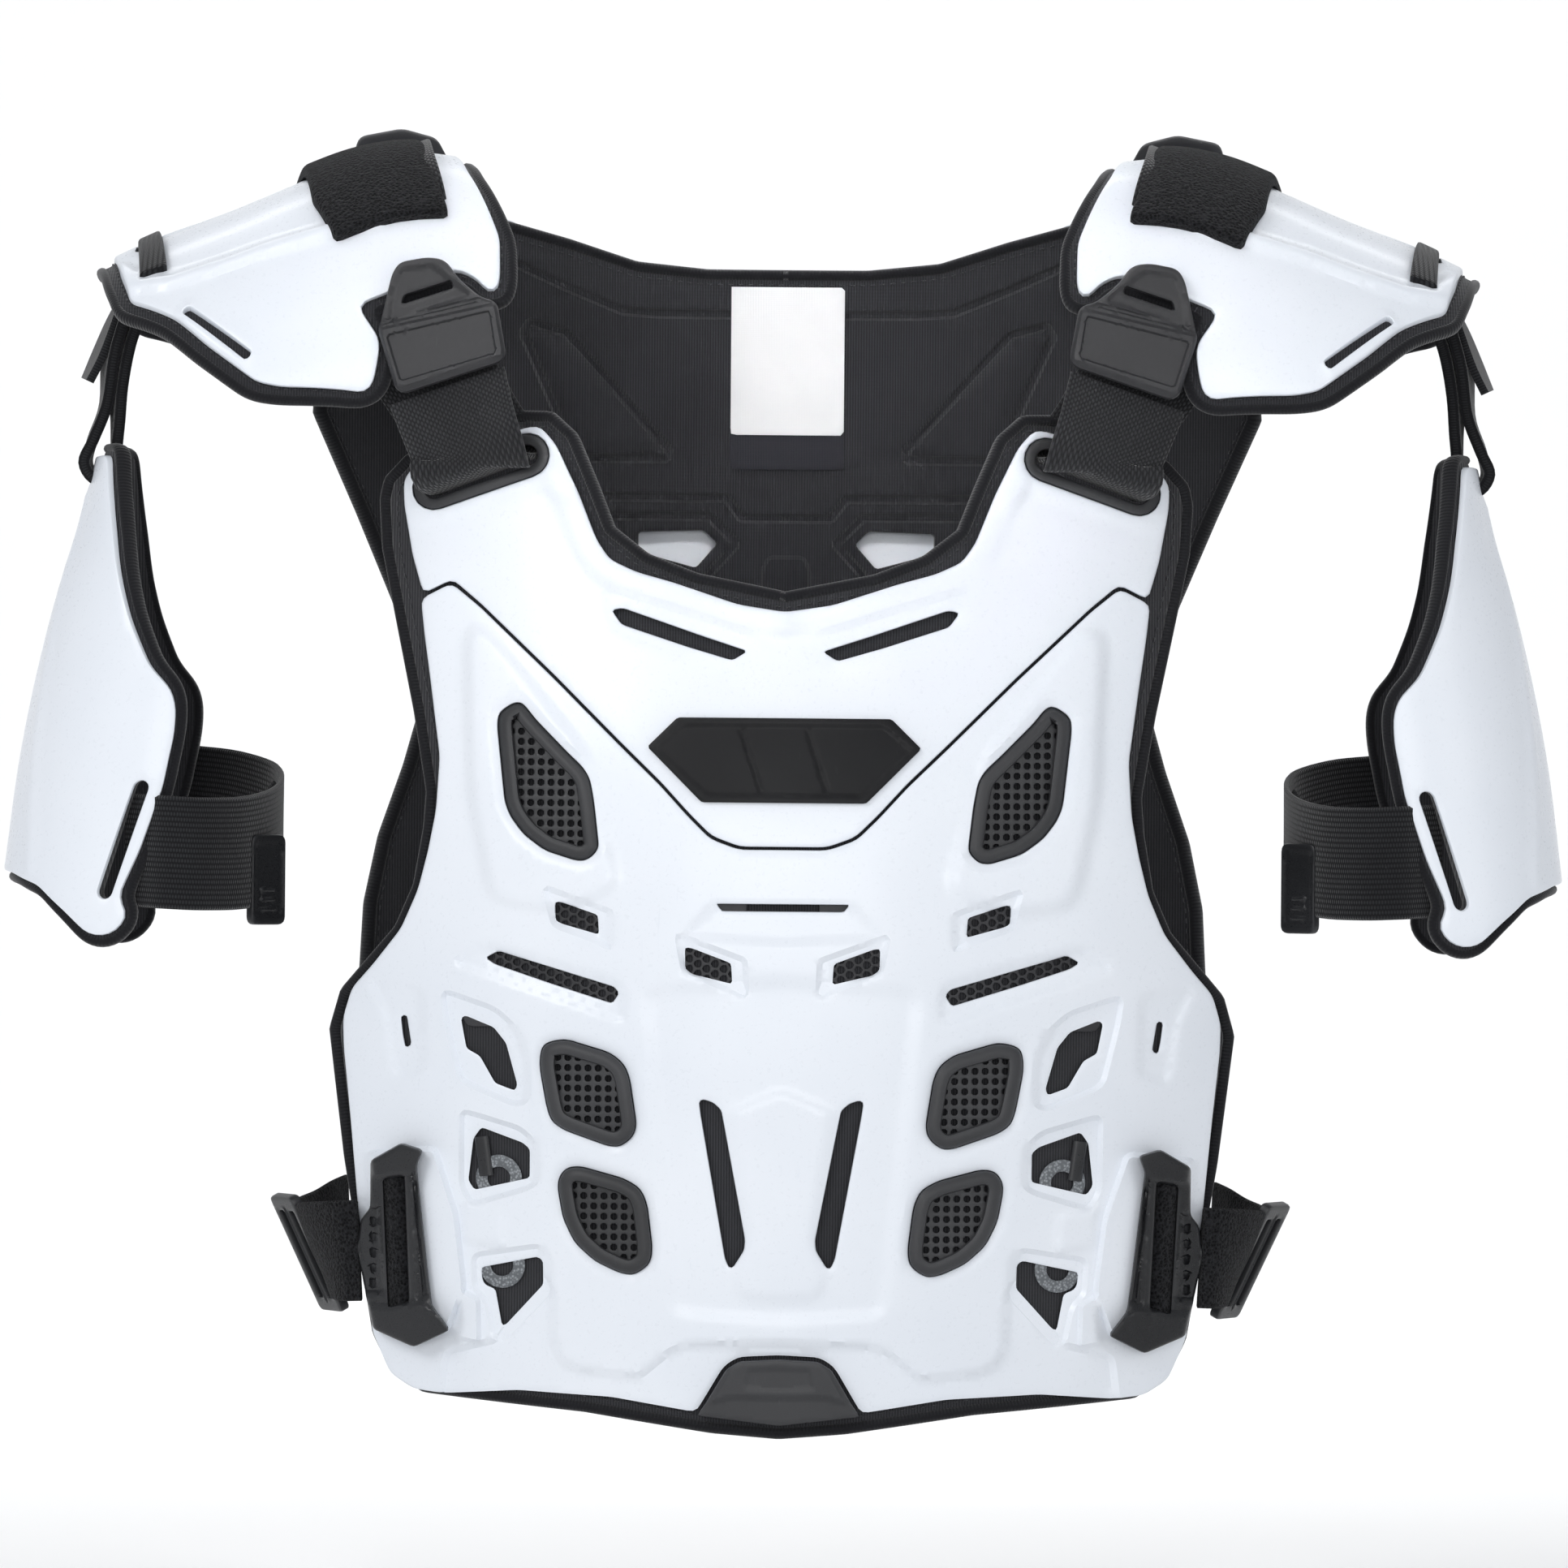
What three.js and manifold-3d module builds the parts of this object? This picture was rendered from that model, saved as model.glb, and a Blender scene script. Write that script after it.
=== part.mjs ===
// Roost deflector: a chest and back protector with shoulder cups and arm guards, worn by a rider.
// Millimetres, +Z up, front towards -Y, symmetric about X = 0.
// The origin is the middle of the shoulder line, where the wearer's shoulders carry it.
import * as THREE from 'three';
import Module from 'manifold-3d';
import { mergeVertices } from 'three/addons/utils/BufferGeometryUtils.js';

const wasm = await Module();
wasm.setup();

// Driving sizes of the front panel
const panelHalfWidth = 182;
const panelHeight = 417;
const panelTop = -95.5;
const panelFront = -130;
const panelBend = 260;
const shellWall = 2.4;
const linerThickness = 6;
const layerGap = 0.4;
const fitGap = 0.3;
const bindingWidth = 5;
const bindingThickness = 8;
const meshThickness = 0.6;

// Driving sizes of the back panel
const backHalfWidth = 200;
const backHeight = 470;
const backTop = -12;
const backInside = 112;
const backBend = 330;
const backLinerThickness = 7;
const backShellInset = 9;

// Driving sizes of the straps and their hardware
const webbingWidth = 50;
const webbingThickness = 2;
const towerSlotHeight = 8.4;
const grommetRim = 4.6;
const grommetProud = 1.8;
const sideStrapWidth = 41;
const linkWidth = 40;
const armStrapWidth = 46;
const strapLean = 20;
const strapSwing = 0.45;
const tabThickness = 4;
const sliderThickness = 5;
const buckleHeight = 8;

// Driving sizes of the shoulder cups and the arm guards
const cupWall = 2.6;
const cupHalfDepth = 80;
const cupDrop = 95;
const cupReach = 280;
const cupPadThickness = 5;
const cupPadEdge = 7;
const guardWall = 2.6;
const guardHalfDepth = 62;
const guardBulge = 62;
const guardBreadth = 74;
const guardReach = 321;
const guardTop = -117;
const guardHeight = 198;
const guardPadThickness = 6;
const guardPadEdge = 5;

// Colours and finishes
const whiteShell = { color: 0xe9ecef, roughness: 0.42, metalness: 0 };
const blackRubber = { color: 0x1b1c1e, roughness: 0.65, metalness: 0 };
const blackFabric = { color: 0x141416, roughness: 0.95, metalness: 0 };
const blackWebbing = { color: 0x18181a, roughness: 0.85, metalness: 0 };
const blackPlastic = { color: 0x1d1e20, roughness: 0.4, metalness: 0 };
const greyPlastic = { color: 0x6f7376, roughness: 0.55, metalness: 0 };
const labelCloth = { color: 0xdfe0dc, roughness: 0.9, metalness: 0 };

const object = new THREE.Group();
const farAway = 400;
const degrees = Math.PI / 180;

// Lofts and solids

function signedVolume(points, triangles) {
  let volume = 0;
  for (const [a, b, c] of triangles) {
    volume += points[a].dot(new THREE.Vector3().crossVectors(points[b], points[c])) / 6;
  }
  return volume;
}

function solidFrom(points, triangles) {
  const facingOut = signedVolume(points, triangles) > 0;
  const vertices = points.flatMap((point) => [point.x, point.y, point.z]);
  const corners = triangles.flatMap(([a, b, c]) => (facingOut ? [a, b, c] : [a, c, b]));
  return new wasm.Manifold(new wasm.Mesh({
    numProp: 3,
    vertProperties: new Float32Array(vertices),
    triVerts: new Uint32Array(corners),
  }));
}

// Joins rings of equal count into one closed solid, capped with fans, or closed on itself.
function loft(rings, closed = false) {
  const count = rings[0].length;
  const points = rings.flat();
  const triangles = [];
  const last = closed ? rings.length : rings.length - 1;
  for (let i = 0; i < last; i += 1) {
    const next = (i + 1) % rings.length;
    for (let j = 0; j < count; j += 1) {
      const k = (j + 1) % count;
      triangles.push([i * count + j, i * count + k, next * count + k]);
      triangles.push([i * count + j, next * count + k, next * count + j]);
    }
  }
  if (!closed) {
    const end = (rings.length - 1) * count;
    for (let j = 1; j < count - 1; j += 1) {
      triangles.push([0, j + 1, j]);
      triangles.push([end, end + j, end + j + 1]);
    }
  }
  return solidFrom(points, triangles);
}

// A curved sheet: place(u, v, offset) gives a point, the offset runs from one face to the other.
function sheet(place, [uFrom, uTo, uSteps], [vFrom, vTo, vSteps], [from, to]) {
  const at = (i, j, offset) => {
    const u = THREE.MathUtils.lerp(uFrom, uTo, i / uSteps);
    const v = THREE.MathUtils.lerp(vFrom, vTo, j / vSteps);
    return place(u, v, offset);
  };
  const columns = uSteps + 1;
  const rows = vSteps + 1;
  const points = [];
  for (const offset of [from, to]) {
    for (let j = 0; j < rows; j += 1) {
      for (let i = 0; i < columns; i += 1) {
        points.push(at(i, j, offset));
      }
    }
  }
  const layer = columns * rows;
  const triangles = [];
  for (let j = 0; j < vSteps; j += 1) {
    for (let i = 0; i < uSteps; i += 1) {
      const a = j * columns + i;
      const b = a + 1;
      const c = a + columns + 1;
      const d = a + columns;
      triangles.push([a, b, c], [a, c, d]);
      triangles.push([layer + a, layer + c, layer + b], [layer + a, layer + d, layer + c]);
    }
  }
  const edge = [];
  for (let i = 0; i < uSteps; i += 1) edge.push(i);
  for (let j = 0; j < vSteps; j += 1) edge.push(j * columns + uSteps);
  for (let i = uSteps; i > 0; i -= 1) edge.push(vSteps * columns + i);
  for (let j = vSteps; j > 0; j -= 1) edge.push(j * columns);
  edge.forEach((a, n) => {
    const b = edge[(n + 1) % edge.length];
    triangles.push([a, layer + a, b], [b, layer + a, layer + b]);
  });
  return solidFrom(points, triangles);
}

// A closed prism along its local Z with the given outline
function prism(outline, depth) {
  const geometry = new THREE.ExtrudeGeometry(new THREE.Shape(outline), { depth, bevelEnabled: false });
  geometry.deleteAttribute('normal');
  geometry.deleteAttribute('uv');
  return geometry;
}

function solidOf(geometry) {
  const merged = mergeVertices(geometry, 1e-4);
  return new wasm.Manifold(new wasm.Mesh({
    numProp: 3,
    vertProperties: new Float32Array(merged.attributes.position.array),
    triVerts: new Uint32Array(merged.index.array),
  }));
}

// A block with a front-view outline, running right through the object along Y.
function frontBlock(outline, holes = []) {
  const geometry = prism(outline, 2 * farAway);
  geometry.translate(0, 0, -farAway);
  geometry.rotateX(Math.PI / 2);
  return holes.reduce((block, hole) => block.subtract(frontBlock(hole)), solidOf(geometry));
}

// The largest body of a solid, without the slivers that a cut leaves beside it
function mainBody(solid) {
  return solid.decompose().reduce((best, body) => (body.volume() > best.volume() ? body : best));
}

function geometryOf(solid) {
  const mesh = solid.getMesh();
  const geometry = new THREE.BufferGeometry();
  geometry.setAttribute('position', new THREE.BufferAttribute(mesh.vertProperties, 3));
  geometry.setIndex(new THREE.BufferAttribute(mesh.triVerts, 1));
  geometry.computeVertexNormals();
  return geometry;
}

function addPiece(name, solid, finish) {
  const mesh = new THREE.Mesh(geometryOf(mainBody(solid)), new THREE.MeshStandardMaterial(finish));
  mesh.name = name;
  object.add(mesh);
  return mesh;
}

// Pieces that come in pairs are made for X above zero and mirrored.
function addPair(name, solid, finish) {
  addPiece(`${name}_right`, solid, finish);
  addPiece(`${name}_left`, solid, finish).scale.x = -1;
}

// Outlines in the front view, where x is across and y is up

const area = (outline) => THREE.ShapeUtils.area(outline);

// Moves an outline outwards by a distance, or inwards by a negative one.
function grown(outline, distance) {
  const turn = area(outline) > 0 ? 1 : -1;
  return outline.map((point, i) => {
    const before = outline[(i + outline.length - 1) % outline.length];
    const after = outline[(i + 1) % outline.length];
    const first = point.clone().sub(before).normalize();
    const second = after.clone().sub(point).normalize();
    const normal = new THREE.Vector2(first.y + second.y, -first.x - second.x).normalize();
    const stretch = Math.max(normal.dot(new THREE.Vector2(second.y, -second.x)), 0.5);
    return point.clone().addScaledVector(normal, (turn * distance) / stretch);
  });
}

function stadium(first, second, radius, steps = 3) {
  const along = Math.atan2(second.y - first.y, second.x - first.x);
  const ends = [[second, along - Math.PI / 2], [first, along + Math.PI / 2]];
  return ends.flatMap(([centre, start]) => Array.from({ length: steps + 1 }, (_, i) => {
    const angle = start + (Math.PI * i) / steps;
    return new THREE.Vector2(
      centre.x + radius * Math.cos(angle),
      centre.y + radius * Math.sin(angle),
    );
  }));
}

const mirrored = (outline) => outline.map((point) => new THREE.Vector2(-point.x, point.y)).reverse();

// Joins a right half, listed from the top middle round to the bottom middle, with its mirror.
function wholeFrom(half) {
  const inner = half.filter((point) => point.x > 0.01);
  return [...half, ...mirrored(inner)];
}

// Smooth curve through a table of stations: column 0 is the station, column 1 the value.
function curveThrough(rows) {
  return (station) => {
    let k = 0;
    while (k < rows.length - 2 && station > rows[k + 1][0]) k += 1;
    const [s1, v1] = rows[k];
    const [s2, v2] = rows[k + 1];
    const [s0, v0] = rows[k - 1] ?? [2 * s1 - s2, 2 * v1 - v2];
    const [s3, v3] = rows[k + 2] ?? [2 * s2 - s1, 2 * v2 - v1];
    const t = THREE.MathUtils.clamp((station - s1) / (s2 - s1), -0.3, 1.3);
    const m1 = ((v2 - v0) / (s2 - s0)) * (s2 - s1);
    const m2 = ((v3 - v1) / (s3 - s1)) * (s2 - s1);
    const t2 = t * t;
    const t3 = t2 * t;
    return (2 * t3 - 3 * t2 + 1) * v1 + (t3 - 2 * t2 + t) * m1
      + (3 * t2 - 2 * t3) * v2 + (t3 - t2) * m2;
  };
}

// Straps: a flat band along points, its width lying along a direction given at each point

function bandSolid(points, across, width, thickness, closed = false, steps = 1) {
  const places = points.map(([x, y, z]) => new THREE.Vector3(x, y, z));
  const curve = new THREE.CatmullRomCurve3(places, closed, 'centripetal');
  const swings = curveThrough(points.map((row, i) => [i, row[3] ?? 0]));
  const spans = places.length - (closed ? 0 : 1);
  const count = spans * steps;
  const rings = [];
  for (let i = 0; i < (closed ? count : count + 1); i += 1) {
    const along = curve.getTangent(i / count);
    const wide = across.clone();
    wide.y += swings((i / count) * spans);
    wide.addScaledVector(along, -wide.dot(along)).normalize();
    const up = new THREE.Vector3().crossVectors(along, wide);
    const middle = curve.getPoint(i / count);
    rings.push([[-1, -1], [1, -1], [1, 1], [-1, 1]].map(([w, t]) => middle.clone()
      .addScaledVector(wide, (w * width) / 2)
      .addScaledVector(up, (t * thickness) / 2)));
  }
  return loft(rings, closed);
}

// A band and the room it needs where it passes through other pieces
function band({ points, across, width, thickness, closed }) {
  return {
    solid: bandSolid(points, across, width, thickness, closed),
    room: bandSolid(points, across, width + 2 * fitGap, thickness + 2 * fitGap, closed),
  };
}

const leanAcross = new THREE.Vector3(
  Math.cos(strapLean * degrees), 0, -Math.sin(strapLean * degrees));

// Columns: x, y, z, and how far the band's width swings back for each step outwards
const shoulderPath = [
  [138, -78.6, -90, 0.18], [133.5, -80.4, -104, 0.35], [129, -81.5, -117, strapSwing],
  [127.5, -76.5, -124.3, strapSwing], [121, -62.5, -124.3, strapSwing],
  [123.5, -57, -116, strapSwing], [133, -57.5, -101, 0.4], [147, -60, -78, 0.15],
  [155, -58, -58, 0], [159, -53, -42, 0], [162, -50.5, -30, 0], [165, -47, -14, 0],
  [169, -33, 4, 0], [172, 0, 14, 0], [171, 33, 4, 0], [167, 46, -14, 0], [162, 47.5, -28, 0],
  [155, 48.5, -48, -0.15], [148.5, 55, -66, -0.4], [146.5, 68, -77, -strapSwing],
  [152.5, 82, -77, -strapSwing], [153.5, 86.5, -68, -strapSwing], [155, 87, -54, -strapSwing],
  [158, 88, -36, -0.3], [161, 87, -20, -0.2], [164, 82, -4, -0.18],
];
const shoulderStrap = band({
  points: shoulderPath, across: leanAcross, width: webbingWidth, thickness: webbingThickness,
});

const strapRooms = [shoulderStrap.room, shoulderStrap.room.mirror([1, 0, 0])];
const passedByStraps = (solid) => strapRooms.reduce((rest, room) => rest.subtract(room), solid);

// Front panel: its surface bends round the chest and leans back at the top and the hem

// Columns: down in percent of the panel height, set back in percent of the half width
const panelProfile = [[-5, 24], [10, 14], [22, 8], [42, 1], [60, 0], [80, 3], [104, 8]];
const panelSetBack = curveThrough(panelProfile);
const panelPoint = ([across, down]) => new THREE.Vector2(
  (across / 100) * panelHalfWidth,
  panelTop - (down / 100) * panelHeight,
);
const panelOutline = (rows) => rows.map(panelPoint);

function panelFace(x, z) {
  const round = panelBend - Math.sqrt(panelBend ** 2 - x ** 2);
  const down = ((panelTop - z) / panelHeight) * 100;
  return panelFront + round + (panelSetBack(down) / 100) * panelHalfWidth;
}

// Offsets count inwards along the face's normal, and stretch along Y where the face slopes.
function panelPlace(x, z, offset) {
  const across = panelFace(x + 1, z) - panelFace(x - 1, z);
  const down = panelFace(x, z + 1) - panelFace(x, z - 1);
  const stretch = Math.sqrt(1 + (across / 2) ** 2 + (down / 2) ** 2);
  return new THREE.Vector3(x, panelFace(x, z) + offset * stretch, z);
}

// All layers share the same facets, so that they never cross.
function panelSheet(from, to) {
  const reach = panelHalfWidth * 1.06;
  const top = panelTop + panelHeight * 0.03;
  const hem = panelTop - panelHeight * 1.03;
  return sheet(panelPlace, [-reach, reach, 8], [top, hem, 5], [from, to]);
}

const panelPiece = (outline, holes, from, to) => (
  frontBlock(outline, holes).intersect(panelSheet(from, to)));

// Columns: across in percent of the half width, down in percent of the height
const yokeHalf = panelOutline([
  [0, 20.5], [10.5, 19.8], [24.9, 17.7], [33.1, 16.7], [39, 15.5], [42, 13.6], [46.3, 8.9],
  [51.5, 4.2], [55, 2.5], [58.2, 2.6], [83.8, 6.4], [85.8, 7.6], [85.6, 10], [83.5, 15],
  [80.9, 18.8], [74.3, 17.4], [67.7, 19.8], [51, 26.7], [36, 33.2], [27, 37], [20.7, 40],
  [15.8, 42.1], [9.6, 43.1], [0, 43.1],
]);
const plateHalf = panelOutline([
  [0, 43.4], [9.8, 43.4], [16.1, 42.4], [21, 40.3], [27.3, 37.3], [36.3, 33.5], [51.3, 27],
  [68, 20.1], [74.5, 17.8], [81.4, 19.3], [80.6, 22.4], [78.9, 27.4], [76.6, 34.7],
  [77.3, 39.9], [79, 43.8], [81.2, 47.6], [85, 51.4], [91.3, 54.9], [96.2, 57.3], [98.2, 60.2],
  [98, 63], [96.4, 69.5], [94.2, 77.6], [88.6, 90.7], [84.4, 93.7], [80.3, 94.9], [74.6, 95.8],
  [57.8, 95.6], [37, 96.3], [18.3, 97.6], [16.9, 96.6], [12.2, 93.1], [9, 92.2], [0, 92],
]);
const linerHalf = panelOutline([
  [0, 18.5], [19.2, 16.8], [30.3, 14.9], [37.9, 12.3], [41.7, 8.1], [46.5, 3.2], [52, 1],
  [59.5, 0.9], [84.8, 5], [90, 7.4], [91, 9.5], [90.2, 14.4], [82.4, 30.3], [79.3, 38.2],
  [79.9, 41.7], [82, 47.1], [86, 51.1], [98.4, 57.4], [101, 61.3], [97.4, 73.8], [90.6, 91],
  [86.4, 94.7], [79, 96.6], [42.8, 97.9], [14.7, 99.7], [0, 100.2],
]);
const yokeVent = panelOutline([
  [38.5, 20.4], [36, 20.2], [18.8, 22.8], [8.3, 24.3], [11.6, 25.2], [21.7, 23.9], [36.2, 21.8],
]);
const slotUpper = panelOutline([
  [50.3, 48.6], [49, 48.6], [40.8, 49.8], [40.5, 51.7], [48.8, 50.7], [50.2, 50.4],
]);
const slotInner = panelOutline([
  [21.5, 52.8], [19.9, 52.9], [11.3, 54.3], [11, 56.3], [19.7, 55.4], [21.4, 54.9],
]);
const slotLong = panelOutline([
  [65.8, 54.1], [62.9, 53.4], [51.8, 54.8], [37, 56.7], [35.9, 57.3], [37.4, 58.3],
  [51.6, 56.4], [63.6, 54.7],
]);
const slotMiddle = panelOutline([[14.7, 48.6], [13.4, 49.3], [-13.4, 49.3], [-14.7, 48.6]]);
const slotSide = panelOutline([
  [84.8, 59.9], [83.5, 59.8], [82.4, 62.7], [83.7, 63], [84.3, 61.7],
]);
const openingUpper = panelOutline([
  [71.2, 60], [70.3, 59.7], [63.8, 60.8], [61, 62.3], [58.4, 66.3], [58.9, 66.9], [63.4, 66.2],
  [65.4, 64.7], [66.9, 63.6], [69.9, 62.9], [70.5, 61.6],
]);
const openingMiddle = panelOutline([
  [68.2, 71.6], [66.4, 70.5], [57.1, 71.9], [55.5, 72.5], [55.5, 75.3], [67.9, 76.6],
  [69.3, 75.7],
]);
const openingLower = panelOutline([
  [66.2, 84.1], [53.6, 82.9], [52.4, 83.3], [52.3, 85.6], [60.6, 89.6], [61.5, 89.7],
  [63, 86.2], [65.3, 85.8], [66, 85.3],
]);
const slotVee = panelOutline([
  [18.1, 67.6], [17.2, 67.4], [15, 67.7], [13.2, 68.4], [12.6, 69.7], [7.7, 80.9], [7.9, 81.9],
  [10.3, 83.6], [11.2, 83.6], [12.1, 82.7], [17.7, 68.9],
]);
const ventOutlines = {
  upper: panelOutline([
    [59.8, 29.4], [63.3, 30.4], [63.5, 31.7], [61.6, 39], [60.3, 40.4], [57.3, 42.1],
    [52.6, 43.6], [45.2, 44.6], [42.9, 44.4], [41, 43.5], [40.9, 43], [42, 39], [43, 36.7],
    [44.6, 35.6], [47.6, 34.4], [55.3, 31], [58, 29.5],
  ]),
  mid: panelOutline([
    [53.2, 63.5], [52.6, 62.4], [49.9, 62], [47.4, 61.9], [37.9, 63.1], [34.9, 64.1],
    [33.6, 65.4], [32, 69.9], [32.6, 71], [35.3, 72], [37.8, 72], [47.9, 70.5], [50.6, 69.7],
    [51.6, 68.4], [53.2, 64.7],
  ]),
  low: panelOutline([
    [48.9, 75.3], [47.4, 74.3], [44.4, 74.1], [34.7, 75.2], [31, 76.1], [29.5, 77.6],
    [28.3, 81.8], [28.7, 83.3], [32.2, 84.4], [35.3, 84.2], [40.8, 83.1], [45.2, 81.4],
    [47.8, 79.1], [49, 76.3],
  ]),
};
const slotEnds = [panelPoint([79.7, 8.6]), panelPoint([56.8, 5.2])];
const slotRadius = towerSlotHeight / 2;
const grommetRadius = slotRadius + grommetRim;
const slotCentres = (() => {
  const along = slotEnds[1].clone().sub(slotEnds[0]);
  const middle = slotEnds[0].clone().add(slotEnds[1]).multiplyScalar(0.5);
  const half = webbingWidth / Math.hypot(1, strapSwing) / 2 - slotRadius + 1.6;
  const step = along.normalize().multiplyScalar(half);
  return [middle.clone().sub(step), middle.clone().add(step)];
})();
const towerSlot = (radius) => stadium(slotCentres[0], slotCentres[1], radius);
const onBothSides = (outline) => [outline, mirrored(outline)];

const panelOuter = wholeFrom(linerHalf);
const panelInner = grown(panelOuter, -bindingWidth);
const linerEdge = grown(panelOuter, -bindingWidth - fitGap);
const meshBack = shellWall + fitGap + meshThickness;
const linerFront = meshBack + layerGap;
const linerBack = linerFront + linerThickness;
const bindingFront = (linerFront + linerBack - bindingThickness) / 2;

// The hem of the chest plate lies lower than its middle, and the buckles sit on raised fields.
const fieldProud = 1.6;
const hemSunk = 1;
const hemField = panelOutline([
  [0, 91.3], [19.6, 91.6], [23.7, 92.3], [31, 94.9], [43.8, 94.3], [48, 93.5], [50, 91.8],
  [50.3, 86], [54, 84.6], [62, 91], [74, 92.4], [76, 99], [0, 99],
]);
const buckleField = panelOutline([
  [77, 72.6], [92.5, 73.4], [90, 85], [87, 90], [74, 90.5], [70, 86], [72, 79],
]);

const ventHoles = Object.values(ventOutlines).flatMap((outline) => onBothSides(grown(outline, fitGap)));
const plateHoles = [
  ...[slotUpper, slotInner, slotLong, slotSide, openingUpper, openingMiddle, openingLower, slotVee]
    .flatMap(onBothSides),
  slotMiddle,
  ...ventHoles,
];

const hem = frontBlock(wholeFrom(hemField)).intersect(panelSheet(-hemSunk, hemSunk));
const buckleFields = onBothSides(buckleField).map((outline) => (
  panelPiece(outline, [], -fieldProud, shellWall / 2)));
const chestPlate = panelPiece(wholeFrom(plateHalf), plateHoles, 0, shellWall)
  .subtract(hem).add(buckleFields[0]).add(buckleFields[1]);
addPiece('chest_plate', chestPlate, whiteShell);

const towerHole = towerSlot(grommetRadius + fitGap);
const yokeHoles = [...onBothSides(yokeVent), ...onBothSides(towerHole)];
addPiece('chest_yoke',
  passedByStraps(panelPiece(wholeFrom(yokeHalf), yokeHoles, 0, shellWall)), whiteShell);

const grommetHole = [towerSlot(slotRadius)];
const grommet = panelPiece(towerSlot(grommetRadius), grommetHole, -grommetProud, shellWall);
addPair('strap_grommet', passedByStraps(grommet), blackRubber);

const linerSlots = onBothSides(towerSlot(slotRadius + 1));
addPiece('chest_liner',
  passedByStraps(panelPiece(linerEdge, linerSlots, linerFront, linerBack)), blackFabric);
addPiece('chest_binding', passedByStraps(
  panelPiece(panelOuter, [panelInner], bindingFront, bindingFront + bindingThickness),
), blackFabric);

// Grilles: a frame that stands proud of the shell, with rows of square holes
const ventProud = 1.2;
const ventFrame = 5.6;
const ventPitch = 7.4;
const ventHole = 4.9;
const ventSlope = 0.16;

function insideOf(outline, point) {
  let inside = false;
  outline.forEach((a, i) => {
    const b = outline[(i + 1) % outline.length];
    const crosses = (a.y > point.y) !== (b.y > point.y);
    if (crosses && point.x < ((b.x - a.x) * (point.y - a.y)) / (b.y - a.y) + a.x) inside = !inside;
  });
  return inside;
}

function grilleHoles(outline) {
  const inner = grown(outline, -ventFrame - ventHole / 2);
  const box = new THREE.Box2().setFromPoints(inner);
  const middle = box.getCenter(new THREE.Vector2());
  const holes = [];
  const count = Math.ceil(box.getSize(new THREE.Vector2()).length() / ventPitch);
  for (let row = -count; row <= count; row += 1) {
    for (let column = -count; column <= count; column += 1) {
      const x = middle.x + column * ventPitch;
      const y = middle.y + row * ventPitch + column * ventPitch * ventSlope;
      if (insideOf(inner, new THREE.Vector2(x, y))) {
        const half = ventHole / 2;
        const corners = [[-half, -half], [half, -half], [half, half], [-half, half]];
        holes.push(corners.map(([a, b]) => new THREE.Vector2(x + a, y + b + a * ventSlope)));
      }
    }
  }
  return holes;
}

for (const [name, outline] of Object.entries(ventOutlines)) {
  const grille = panelPiece(outline, grilleHoles(outline), -ventProud, shellWall);
  addPair(`vent_${name}`, grille, blackRubber);
}

// Mesh sheet behind the slots, clear of the grilles
const meshOutline = panelOutline([
  [8, 45.6], [38, 45.6], [52, 46.4], [68, 52], [72, 58.4], [70, 60.8], [44, 60.4], [18, 61.4],
  [8, 58],
]);
addPair('mesh_insert',
  panelPiece(meshOutline, [], shellWall + fitGap, meshBack), blackPlastic);

// Waist plate, in the notch of the chest plate
const waistPlate = wholeFrom(panelOutline([
  [0, 92.4], [8.6, 92.6], [11.6, 93.4], [16.2, 96.8], [18, 97.9], [0, 98.8],
]));
addPiece('waist_plate', panelPiece(waistPlate, [], -2.4, shellWall), blackRubber);

// Plain ornament: a long six-sided plate
const emblemHalfWidth = 55;
const emblemHalfHeight = 17;
const emblemHeight = 2;
const emblemMiddle = panelTop - panelHeight * 0.348;
const emblemOutline = [[-1, 0.3], [-0.78, 1], [0.78, 1], [1, 0.3], [0.6, -1], [-0.6, -1]]
  .map(([x, z]) => new THREE.Vector2(x * emblemHalfWidth, emblemMiddle + z * emblemHalfHeight));
addPiece('chest_emblem', panelPiece(emblemOutline, [], -fitGap - emblemHeight, -fitGap),
  blackPlastic);

const upright = new THREE.Vector3(0, 0, 1);
const level = new THREE.Vector3(0, 1, 0);

// Shoulder cup: an arch over the shoulder that slopes down to the arm

// Columns: out in percent of the reach, ridge height in percent of the drop
const cupRidge = [[38, 4], [48, 8], [57, 10], [64, 6.5], [73, -3.5], [82, -15], [93, -28], [101, -39]];
const ridgeHeight = curveThrough(cupRidge);
const ridgeAt = (x) => (ridgeHeight((x / cupReach) * 100) / 100) * cupDrop;

// Turn runs from the front edge over the ridge to the rear edge, in degrees from the ridge.
function cupPlace(x, turn, offset) {
  const angle = turn * degrees;
  const outwards = new THREE.Vector2(Math.sin(angle) * cupDrop, Math.cos(angle) * cupHalfDepth)
    .normalize();
  return new THREE.Vector3(
    x,
    cupHalfDepth * Math.sin(angle) - offset * outwards.x,
    ridgeAt(x) - cupDrop * (1 - Math.cos(angle)) - offset * outwards.y,
  );
}

const cupSheet = (from, to) => sheet(
  cupPlace,
  [cupReach * 0.36, cupReach + 12, 4],
  [-100, 100, 10],
  [from, to],
);

// Columns: out in percent of the reach, height in percent of the drop
const cupPoint = ([out, height]) => new THREE.Vector2(
  (out / 100) * cupReach, (height / 100) * cupDrop);
const cupOutline = [
  [52, 16], [47, 0], [42, -30], [41.8, -47], [42.2, -52.5], [43.6, -53.5], [45.4, -47.5],
  [48.2, -44], [58.2, -55], [61.8, -59], [61.8, -63], [59, -75], [59.3, -84], [60, -94.5],
  [61.4, -99], [66, -97], [73.5, -96], [76.8, -94], [80, -86.5], [84.3, -77], [89, -65.5],
  [95.7, -58], [97.5, -38], [99.2, -36], [97, -22], [92, 16],
].map(cupPoint);

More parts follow.
